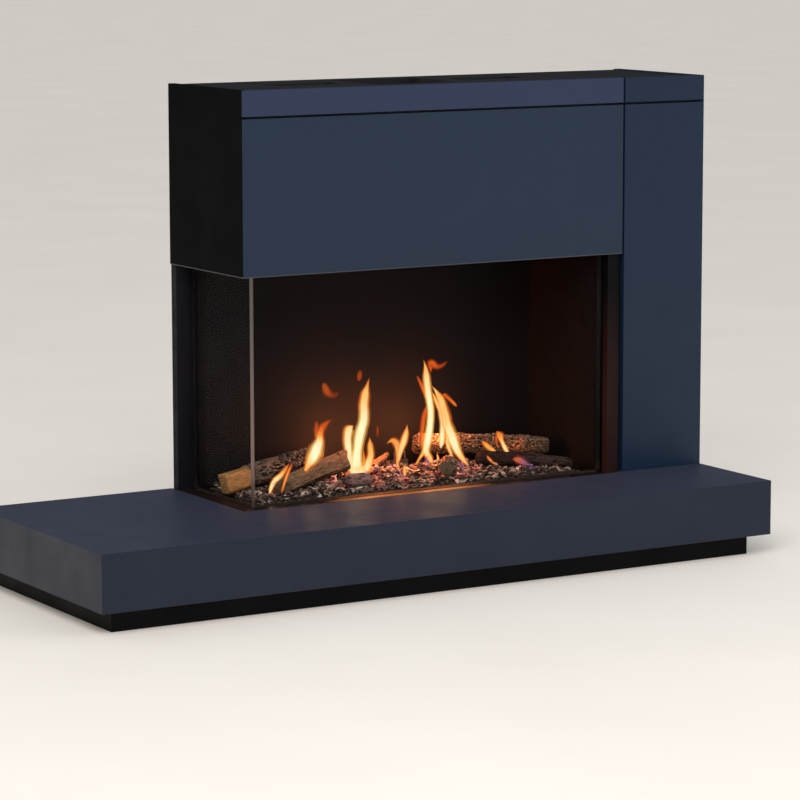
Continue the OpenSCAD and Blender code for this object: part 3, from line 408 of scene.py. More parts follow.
def paint(obj, name, values):
    """A number or colour for each vertex, for the material to read."""
    flat = np.array(values, np.float32)
    if flat.ndim == 1:
        layer = obj.data.attributes.new(name, "FLOAT", "POINT")
        layer.data.foreach_set("value", flat)
    else:
        layer = obj.data.color_attributes.new(name, "FLOAT_COLOR", "POINT")
        solid = np.ones((len(flat), 1), np.float32)
        layer.data.foreach_set("color", np.hstack([flat, solid]).ravel())


def fractal(p, scale, octaves=4):
    return noise.fractal(Vector(p) * scale, 0.75, 2.1, octaves)


def tube_faces(start, rows, sides):
    """The faces round a tube whose rows of points begin at the point numbered start."""
    return [(start + i * sides + j, start + i * sides + m,
             start + (i + 1) * sides + m, start + (i + 1) * sides + j)
            for i in range(rows - 1) for j, m in enumerate([*range(1, sides), 0])]


# ---- Logs ----

GROWTH_RINGS = 9


def bark_look(name, deep, mid, light, cut_dark, cut_light, ash):
    """Cast ceramic bark and split wood: the attribute cut says where the wood is bare."""
    k = Look(name, 0.9, spec=0.2)
    depth = k.attribute("depth")
    cut = k.attribute("cut")
    darkening = k.attribute("darkening")
    fine = k.noise(240.0, 5.0, 0.7)
    bark = k.ramp(k.math("ADD", k.math("MULTIPLY", depth, 0.7), k.math("MULTIPLY", fine, 0.35)),
                  [(0.22, deep), (0.46, mid), (0.72, light), (0.92, ash)])
    grain = k.attribute("grain")
    wood = k.ramp(k.math("ADD", k.math("MULTIPLY", grain, 0.75), k.math("MULTIPLY", fine, 0.25)),
                  [(0.15, cut_dark), (0.75, cut_light)])
    both = k.mix(cut, bark, wood)
    # Darker over the charred stretches and towards the log's underside
    k.put("Base Color", k.mix(darkening, both, linear(22, 17, 17)))
    k.bump(k.noise(420.0, 5.0, 0.75), 0.5, 0.0012)
    return k.m


def make_log(name, p, q, radii, look, seed, sides=112, rings=200, bark=(0.0, 1.0), split=(),
             rough=1.0, bend=0.0, darkening=(), end_tilt=(0.0, 0.0), pits=0.0, knots=(), curls=0.0,
             crust=(2.0, 3.0), soft=(3.0, 0.07)):
    """A log from p to q, given from the opening's corner and up from the hearth.

    bark is the stretch that has bark; split lists flat faces as (angle, share of the radius,
    first and last place along the log); the angle is 90 on top and 180 at the front;
    end_tilt slants the two cut ends; knots are (place along, angle, height, width); curls is how
    far the bark is rolled in rings; crust is a stretch of burnt lumps; soft rounds the ends off,
    as a length and a share of the radius. The charred stretches are given as (place along, width,
    strength).
    """
    a, b = at(*p) + Vector((0, 0, HEARTH / 1000)), at(*q) + Vector((0, 0, HEARTH / 1000))
    run = b - a
    w = run.normalized()
    u = Vector((0, 0, 1)).cross(w).normalized()
    v = w.cross(u)
    verts, depth, cut, grain, darkened = [], [], [], [], []
    for i in range(rings):
        s = i / (rings - 1)
        radius = (radii[0] + (radii[1] - radii[0]) * s) / 1000
        sway = math.sin(math.pi * s) * bend / 1000
        for j in range(sides):
            t = 2 * math.pi * j / sides
            lean = (end_tilt[0] * (1 - s) ** 6 + end_tilt[1] * s ** 6) * math.cos(t) * radius
            centre = a + run * s + w * lean + v * sway
            outward = u * math.cos(t) + v * math.sin(t)
            form = 1 + 0.06 * math.sin(2 * t + seed) + 0.04 * math.sin(3 * t + 4 * s + seed * 2)
            bare = 0.0
            for angle, share, first, last in split:
                facing = math.cos(t - math.radians(angle))
                away = max(first - s, s - last, 0.0) * run.length / 0.012
                flat = share + 0.5 * away + 0.012 * math.sin(9 * s + seed + angle)
                if facing > 1e-3 and flat / facing < form:
                    form = flat / facing
                    bare = 1.0
            if not bark[0] <= s <= bark[1]:
                bare = 1.0
            here = centre * 1000 + outward * radius * 1000
            along = Vector((w.dot(here) * 0.16, u.dot(here), v.dot(here)))
            if bare:
                lines = fractal(along + Vector((seed * 31, 0, 0)), 0.35, 4)
                lift = 0.0012 * lines * rough
                shade = 0.5 + 0.55 * lines
                ridge = 0.5
            else:
                furrow = Vector((along.x * 1.6, along.y, along.z)) + Vector((seed * 17, 0, 0))
                ridge = 1 - abs(fractal(furrow, 0.16, 4)) * 1.7
                cell = noise.voronoi(here * (0.14 + 0.02 * rough) + Vector((seed * 9, 0, 0)))[0]
                pit = max(0.0, 0.34 - cell[0]) * pits
                lift = (0.0036 * (ridge - 0.55) - 0.011 * pit
                        + 0.0012 * fractal(here, 0.35, 3)) * rough
                shade = 0.5
                ridge = ridge - pit * 2.2 + 0.2 * fractal(here, 0.8, 2)
                if curls:
                    swirl = here * 0.05 + Vector((
                        fractal(here, 0.03, 2), fractal(here, 0.035, 2), seed))
                    ring = math.sin(noise.voronoi(swirl)[0][0] * 30
                                    + 2.0 * fractal(here, 0.06, 2))
                    lift += curls * 0.0022 * ring
                    ridge += curls * (0.5 + 0.5 * ring - ridge)
                if crust[0] < s < crust[1]:
                    lump = noise.voronoi(here * 0.12)[0][0]
                    lift += 0.006 * (0.5 - lump)
                    ridge = 1.05 - 1.3 * lump + 0.3 * fractal(here, 0.3, 2)
            for place, angle, height, width in knots:
                away = ((s - place) * run.length * 1000) ** 2 + (
                    radius * 1000 * math.remainder(t - math.radians(angle), 2 * math.pi)) ** 2
                lift += height / 1000 * math.exp(-away / width ** 2)
            rim = 1 - min(1.0, min(s, 1 - s) * run.length * 1000 / soft[0])
            verts.append(centre + outward * (radius * form * (1 - soft[1] * rim * rim) + lift))
            depth.append(min(1.0, max(0.0, ridge)))
            cut.append(bare)
            grain.append(min(1.0, max(0.0, shade)))
            # Darker over the given charred stretches, and darker towards the log's underside
            darkened.append(min(1.0, sum(h * math.exp(-((s - c) / d) ** 2) for c, d, h in darkening)
                            + 0.55 * max(0.0, -math.sin(t)) ** 2))
    faces = tube_faces(0, rings, sides)
    # The sawn ends: rings of growth round the middle of the cut
    for first, end, tilt in ((0, a, -1), ((rings - 1) * sides, b, 1)):
        rim = [verts[first + j] for j in range(sides)]
        heart = sum(rim, Vector()) / sides
        last = first
        for n in range(1, GROWTH_RINGS + 1):
            start = len(verts)
            share = 1 - n / (GROWTH_RINGS + 1)
            for j in range(sides):
                spot = heart + (rim[j] - heart) * share
                wave = math.sin(share * 42 + 2 * fractal(spot * 1000, 0.12, 2))
                verts.append(spot + w * tilt * (0.0004 * wave - 0.0005 * (1 - share)
                                                + 0.0006 * fractal(spot * 1000, 0.5, 3)))
                depth.append(0.5)
                cut.append(1.0)
                grain.append(min(1.0, max(0.0, 0.5 + 0.42 * wave)))
                darkened.append(darkened[first + j] * 0.7)
            for j in range(sides):
                m = (j + 1) % sides
                quad = (last + j, last + m, start + m, start + j)
                faces.append(quad if tilt > 0 else quad[::-1])
            last = start
        tip = len(verts)
        verts.append(heart - w * tilt * 0.0004)
        depth.append(0.5)
        cut.append(1.0)
        grain.append(0.3)
        darkened.append(0.2)
        for j in range(sides):
            tri = (last + j, last + (j + 1) % sides, tip)
            faces.append(tri if tilt > 0 else tri[::-1])
    obj = mesh_object(name, verts, faces, look)
    for word, values in (("depth", depth), ("cut", cut), ("grain", grain), ("darkening", darkened)):
        paint(obj, word, values)
    return obj


BARK_GREY = bark_look("bark_grey", linear(10, 8, 8), linear(48, 42, 38), linear(82, 72, 62),
                      linear(98, 69, 42), linear(156, 113, 66), linear(128, 104, 82))
WOOD_BROWN = bark_look("wood_brown", linear(18, 14, 12), linear(66, 52, 42), linear(104, 82, 62),
                       linear(58, 43, 33), linear(124, 96, 70), linear(120, 98, 74))
BARK_TAN = bark_look("bark_tan", linear(16, 12, 10), linear(56, 43, 34), linear(106, 84, 63),
                     linear(50, 46, 38), linear(98, 88, 70), linear(170, 146, 116))
SMOOTH_TAN = bark_look("bark_smooth", linear(17, 12, 12), linear(37, 27, 25), linear(52, 40, 35),
                       linear(46, 35, 29), linear(70, 56, 46), linear(66, 52, 44))
BARK_SOFT = bark_look("bark_soft", linear(52, 37, 35), linear(94, 68, 64), linear(124, 92, 86),
                      linear(70, 51, 47), linear(100, 75, 68), linear(130, 100, 92))

LOGS = {
    "log_rear_left": dict(
        p=(50, 200, 28), q=(340, 279, 58), radii=(28, 24), look=BARK_GREY, seed=1,
        bark=(0.25, 0.99),
        split=((84, 0.80, 0, 0.24), (168, 0.84, 0, 0.245), (342, 0.55, 0, 0.24),
               (262, 0.86, 0, 0.24)),
        rough=0.75, pits=0.4, crust=(0.6, 1.0), darkening=((0.27, 0.02, 0.5), (0.97, 0.05, 0.2)),
        end_tilt=(0.2, -0.2), knots=((0.45, 110, 2.5, 22), (0.75, 95, 2.5, 16))),
    "log_front_left": dict(
        p=(138, 99, 25), q=(388, 208, 58), radii=(19, 25), look=WOOD_BROWN, seed=2,
        split=((112, 0.76, 0, 0.86), (166, 0.80, 0, 1), (30, 0.8, 0, 1), (140, 0.66, 0.88, 1)),
        darkening=((0.0, 0.10, 0.6), (0.42, 0.16, 0.15), (0.87, 0.015, 0.4)), end_tilt=(-0.5, 0.8),
        bend=2.0, knots=((0.55, 125, 4.0, 13),)),
    "log_rear_right": dict(
        p=(612, 282, 64), q=(940, 179, 45), radii=(23, 20), look=BARK_TAN, seed=3, curls=0.8,
        pits=0.4, rough=1.0, bend=3.0, darkening=((0.28, 0.07, 0.25),), end_tilt=(0.2, 0.2),
        soft=(16, 0.35), knots=((0.06, 80, 3.0, 18), (0.2, 140, 4.0, 16), (0.33, 95, 4.0, 22),
                                (0.47, 150, 4.0, 15), (0.6, 80, 4.5, 20), (0.8, 120, 4.0, 18))),
    "log_front_right": dict(
        p=(742, 194, 30), q=(942, 84, 17), radii=(18, 13), look=SMOOTH_TAN, seed=4,
        rough=0.25, bend=2.0, darkening=((0.08, 0.2, 0.8), (0.42, 0.16, 0.6)), end_tilt=(0.3, 0.3),
        soft=(18, 0.3), knots=((0.6, 120, 2.5, 20),)),
    "log_stump": dict(
        p=(322, 103, 24), q=(390, 116, 22), radii=(16, 16), look=BARK_SOFT, seed=5, sides=88,
        rings=90, rough=0.4, darkening=((0.0, 0.12, 0.5),), end_tilt=(0.5, -0.4), soft=(12, 0.3)),
    "log_splinter": dict(
        p=(486, 246, 30), q=(530, 262, 46), radii=(11, 7), look=WOOD_BROWN, seed=6, sides=64,
        rings=60, split=((100, 0.5, 0, 1), (200, 0.6, 0, 1), (300, 0.5, 0, 1)),
        end_tilt=(0.5, 1.6)),
    "log_cut_round": dict(
        p=(612, 122, 27), q=(650, 172, 31), radii=(19, 19), look=BARK_TAN, seed=7, sides=96,
        rings=60, pits=0.6, darkening=((0.0, 0.1, 0.15),)),
}
STANDS_FOR = {
    "log_rear_left": "log_back_left", "log_front_left": "log_front_left",
    "log_rear_right": "log_back_right", "log_front_right": "log_front_right",
    "log_stump": "small_logs", "log_splinter": "small_logs", "log_cut_round": "small_logs",
}
for name, facts in LOGS.items():
    log = make_log("ceramic_" + name, **facts)
    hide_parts(STANDS_FOR[name])

# ---- Bed of chips and embers ----

BED_X, BED_Y = (74.0, 946.0), (60.0, 305.0)
# Where the bed glows: pixel, reach in millimetres, strength
EMBERS = [
    (272, 495, 16, 0.9), (284, 494, 12, 0.6), (331, 482, 20, 0.9), (342, 486, 12, 0.7),
    (368, 473, 26, 1.0), (376, 484, 24, 0.9), (374, 478, 22, 0.9), (386, 488, 16, 0.6),
    (402, 480, 20, 0.9), (409, 484, 14, 0.6), (424, 470, 18, 0.8), (434, 474, 16, 0.8),
    (462, 474, 26, 1.0), (472, 470, 20, 0.9), (458, 480, 14, 0.6), (500, 466, 20, 0.5),
    (534, 468, 16, 0.5),
]
EMBER_Z = 190
EMBER_SPOTS = [(on_level(px, py, EMBER_Z), reach, power) for px, py, reach, power in EMBERS]
# Heaps of chips: centre, reach and height in millimetres
HEAPS = [(478, 205, 52, 32), (560, 225, 45, 12), (670, 225, 70, 14), (250, 110, 70, 2),
         (800, 120, 90, 4)]


def glow_at(x, y):
    """How strongly the bed glows there."""
    return sum(power * math.exp(-((x - c.x) ** 2 + (y - c.y) ** 2) / (0.8 * reach) ** 2)
               for c, reach, power in EMBER_SPOTS)


def bed_top(x, y):
    """Height of the chips, above the hearth."""
    edge = min(1.0, (x - BED_X[0]) / 30, (BED_X[1] - x) / 30, (y - BED_Y[0]) / 22,
               (BED_Y[1] - y) / 12)
    heap = sum(h * math.exp(-((x - cx) ** 2 + (y - cy) ** 2) / r ** 2) for cx, cy, r, h in HEAPS)
    return max(0.0, edge) * (7.0 + heap + 2.0 * noise.noise(Vector((x * 0.03, y * 0.03, 0))))


def inside_log(x, y, z, spare):
    """Whether a place above the hearth is within spare of a log's straight form."""
    spot = Vector((x, y, z))
    for facts in LOGS.values():
        a, b = Vector(facts["p"]), Vector(facts["q"])
        run = b - a
        s = min(1.0, max(0.0, (spot - a).dot(run) / run.length_squared))
        radius = facts["radii"][0] + (facts["radii"][1] - facts["radii"][0]) * s
        if (spot - a - run * s).length < radius + spare:
            return True
    return False


# Points across a chip, and along it
CHIP_ROWS, CHIP_STEPS = 5, 9


def chip(rng, kind):
    """A curled shaving or a flake: points round its own middle, in millimetres."""
    long, wide, thick, curl = kind
    nu, nv = CHIP_STEPS, CHIP_ROWS
    upper, lower = [], []
    twist = rng.uniform(-0.6, 0.6)
    skew = rng.uniform(-0.3, 0.3)
    for i in range(nu):
        u = i / (nu - 1) - 0.5
        radius = long / curl
        angle = u * curl
        mid = Vector((radius * math.sin(angle), 0, radius * (1 - math.cos(angle))))
        normal = Vector((-math.sin(angle), 0, math.cos(angle)))
        half = wide / 2 * (1 - 1.5 * abs(u) ** 2.2) * rng.uniform(0.9, 1.1)
        for j in range(nv):
            v = (j / (nv - 1) - 0.5) * 2
            side = Vector((skew * v * wide * 0.3, math.cos(twist * u * 2), math.sin(twist * u * 2)))
            spot = mid + side * v * half + normal * (
                rng.uniform(-0.3, 0.3) - 0.25 * wide * v * v * 0.3)
            thin = thick / 2 * (1 - 0.45 * v * v)
            upper.append(spot + normal * thin)
            lower.append(spot - normal * thin)
    count = nu * nv
    faces = []
    for i in range(nu - 1):
        for j in range(nv - 1):
            a = i * nv + j
            faces.append((a, a + 1, a + nv + 1, a + nv))
            faces.append((count + a, count + a + nv, count + a + nv + 1, count + a + 1))
    ring = ([i * nv for i in range(nu)] + [(nu - 1) * nv + j for j in range(1, nv)]
            + [i * nv + nv - 1 for i in range(nu - 2, -1, -1)] + [j for j in range(nv - 2, 0, -1)])
    for a, b in zip(ring, ring[1:] + ring[:1]):
        faces.append((a, b, count + b, count + a))
    return upper + lower, faces


CHIP_SEED, CHIP_TRIES = 11, 2300
# Colours of the chips, and how often each is drawn
CHIP_TONES = [
    (linear(180, 164, 150), 0.10), (linear(146, 128, 114), 0.18), (linear(112, 92, 78), 0.20),
    (linear(82, 66, 56), 0.20), (linear(52, 42, 38), 0.18), (linear(30, 26, 25), 0.14),
]


def make_chips():
    """Chips strewn over the bed, but not inside the logs."""
    rng = random.Random(CHIP_SEED)
    verts, faces, tones_and_rim_highlights, glows = [], [], [], []
    for _ in range(CHIP_TRIES):
        x = rng.uniform(BED_X[0] + 6, BED_X[1] - 6)
        y = BED_Y[0] + 5 + (BED_Y[1] - BED_Y[0] - 10) * rng.random() ** 1.15
        depth = rng.random()
        z = bed_top(x, y) * (0.35 + 0.65 * depth) + 1.5
        if inside_log(x, y, z, 3.0):
            continue
        if rng.random() < 0.7:
            kind = (rng.uniform(15, 31), rng.uniform(4.5, 8.5), rng.uniform(1.2, 2.0),
                    rng.uniform(0.8, 3.0))
        else:
            kind = (rng.uniform(9, 16), rng.uniform(7, 12), rng.uniform(2.4, 4.5),
                    rng.uniform(0.3, 1.0))
        turn = (Matrix.Rotation(rng.uniform(0, 2 * math.pi), 3, "Z")
                @ Matrix.Rotation(rng.gauss(0, 0.24), 3, "Y")
                @ Matrix.Rotation(rng.gauss(0, 0.32), 3, "X")
                @ (Matrix.Rotation(math.pi if rng.random() < 0.85 else 0.0, 3, "X")))
        points, own = chip(rng, kind)
        points = [turn @ q for q in points]
        low = min(q.z for q in points)
        lift = max(z - 2.5, 0.6) - low if rng.random() < 0.75 else max(z, 0.6 - low)
        colour = rng.choices([c for c, _ in CHIP_TONES], [k for _, k in CHIP_TONES])[0]
        heat = min(1.0, glow_at(x, y) * rng.uniform(0.3, 1.3)) * (rng.random() < 0.8)
        start = len(verts)
        verts += [at(x + q.x, y + q.y, HEARTH + lift + q.z) for q in points]
        faces += [tuple(start + k for k in face) for face in own]
        glows += [heat] * len(points)
        shade = rng.uniform(0.7, 1.15)
        # Each chip is lighter towards its long edges: a painted highlight along its rims
        for k in range(len(points)):
            across = abs(k % CHIP_ROWS / (CHIP_ROWS - 1) - 0.5) * 2
            rim = shade * (0.78 + 0.55 * across ** 3)
            tones_and_rim_highlights.append(tuple(min(1.0, c * rim) for c in colour[:3]))
    return verts, faces, tones_and_rim_highlights, glows


def chip_look():
    k = Look("chips", 0.85, spec=0.25)
    # The chips' colours, with the painted highlight along their rims
    tone = k.node("ShaderNodeVertexColor", layer_name="tone").outputs["Color"]
    glow = k.attribute("glow")
    fine = k.noise(330.0, 4.0, 0.7)
    sooty = k.mix(k.span(k.noise(36.0, 4.0), 0.0, 0.75, 0.5, 0.72), tone, linear(24, 20, 20))
    k.put("Base Color", k.mix(k.span(fine, 0.0, 0.5, 0.4, 0.75), sooty, linear(60, 52, 48)))
    hot = k.math("MULTIPLY", glow, k.span(k.noise(90.0, 3.0), 0.25, 1.5, 0.35, 0.7))
    k.put("Emission Color", k.ramp(hot, [(0.0, (0, 0, 0)), (0.25, (0.10, 0.012, 0.02)),
                                         (0.55, (0.55, 0.09, 0.07)), (0.9, (1.0, 0.42, 0.26))]))
    k.set("Emission Strength", 1.1)
    k.bump(k.noise(500.0, 4.0, 0.7), 0.5, 0.0012)
    return k.m


def bed_look():
    """Fine broken chips and ash between the loose ones."""
    k = Look("bed_fines", 0.9, spec=0.2)
    cells = k.node("ShaderNodeTexVoronoi", {"Vector": k.coords, "Scale": 210.0, "Randomness": 1.0})
    k.put("Base Color", k.ramp(k.math("MULTIPLY", cells.outputs["Color"], 1.0), [
        (0.0, linear(20, 17, 17)), (0.55, linear(48, 40, 37)), (0.85, linear(92, 80, 72)),
        (1.0, linear(150, 140, 130))]))
    k.bump(cells.outputs["Distance"], 1.0, 0.003)
    return k.m


verts, faces, tones_and_rim_highlights, glows = make_chips()
chips = mesh_object("ember_chips", verts, faces, chip_look())
paint(chips, "tone", tones_and_rim_highlights)
paint(chips, "glow", glows)
nodes["ember_bed"].data.materials.clear()
nodes["ember_bed"].data.materials.append(bed_look())

# ---- Flames: nested shells of thin burning gas, hottest inside ----

# Each shell: share of the width, how opaque, how hot
SHELLS = [(1.12, 0.20, -0.62), (0.82, 0.40, -0.36), (0.54, 0.92, -0.04)]


def flame_look():
    k = Look("flame", 1.0, spec=0.0)
    k.set("Base Color", (0, 0, 0, 1))
    heat = k.attribute("warmth")
    cool = k.attribute("cool")
    lick = k.span(k.noise(26.0, 3.0, 0.5, (1, 1, 0.28)), -0.10, 0.10, 0.35, 0.65)
    warm = k.ramp(k.math("ADD", heat, lick), [
        (0.0, (0.36, 0.035, 0.006)), (0.25, (0.80, 0.14, 0.018)), (0.45, (1.0, 0.36, 0.045)),
        (0.65, (1.0, 0.61, 0.14)), (0.85, (1.0, 0.87, 0.42)), (1.0, (1.0, 0.96, 0.70))])
    k.put("Emission Color", k.mix(cool, warm, (0.16, 0.11, 0.36, 1)))
    k.set("Emission Strength", 1.25)
    streaks = k.span(k.noise(40.0, 4.0, 0.6, (1, 1, 0.2)), 0.55, 1.15, 0.35, 0.65)
    k.put("Alpha", k.math("MULTIPLY", k.attribute("thick"), streaks))
    return k.m


def smooth_path(points, steps):
    """Catmull-Rom through the points, as tuples of the same length."""
    ext = [points[0], *points, points[-1]]
    out = []
    for n in range(steps + 1):
        whole = n / steps * (len(points) - 1)
        i = min(int(whole), len(points) - 2)
        t = whole - i
        a, b, c, d = ext[i:i + 4]
        out.append(tuple(
            0.5 * (2 * b[k] + (c[k] - a[k]) * t
                   + (2 * a[k] - 5 * b[k] + 4 * c[k] - d[k]) * t * t
                   + (3 * b[k] - a[k] - 3 * c[k] + d[k]) * t ** 3) for k in range(len(b))))
    return out


def make_flame(name, foot, strands, look, seed):
    """A flame of strands, on the upright plane through its foot that faces the camera.

    A strand is its opacity and a list from foot to tip of (pixel x, pixel y, width in pixels,
    heat, coolness).
    """
    base = at(*foot)
    verts, faces, heats, cools, thicks = [], [], [], [], []
    sides, steps = 16, 44
    pixel = (base - CAM_PLACE).dot(cam_ahead) / FOCAL_PX
    for number, (points, strength) in enumerate(strands):
        path = smooth_path(points, steps)
        spots = [on_plane(px, py, base) for px, py, *_ in path]
        for i, spot in enumerate(spots):
            s = i / steps
            spots[i] = spot + cam_level * (
                0.010 * math.sin(3.1 * s + seed + number * 1.7) * s ** 0.5)
        for share, cover, hotter in SHELLS:
            start = len(verts)
            for i, (*_, width, heat, cool) in enumerate(path):
                s = i / steps
                ahead = (spots[min(i + 1, steps)] - spots[max(i - 1, 0)]).normalized()
                across = ahead.cross(cam_level).normalized()
                deep = across.cross(ahead).normalized()
                end = min(1.0, (1 - s) * 5) ** 0.8 * min(1.0, 0.25 + s * 7) ** 0.8
                if share > 1:
                    end = max(end, 0.12)
                half = max(0.02, width / 2 * share * end) * pixel
                for j in range(sides):
                    a = 2 * math.pi * j / sides
                    ripple = 1 + 0.10 * noise.noise(spots[i] * 60 + Vector((j * 0.7, seed, number)))
                    round_it = across * math.cos(a) + deep * 0.62 * math.sin(a)
                    verts.append(spots[i] + round_it * half * ripple)
                    heats.append(min(1.0, max(0.0, heat + hotter)))
                    cools.append(min(1.0, max(0.0, cool)))
                    thicks.append(min(1.0, cover * strength * min(1.0, (1 - s) * 6)
                                      * min(1.0, 0.3 + s * 8) * (1 - 0.72 * cool)))
            faces += tube_faces(start, steps + 1, sides)
            faces.append(tuple(start + j for j in range(sides - 1, -1, -1)))
            faces.append(tuple(start + steps * sides + j for j in range(sides)))
    obj = mesh_object(name, verts, faces, look)
    paint(obj, "warmth", heats)
    paint(obj, "cool", cools)
    paint(obj, "thick", thicks)
    obj.visible_diffuse = False
    obj.visible_shadow = False
    return obj


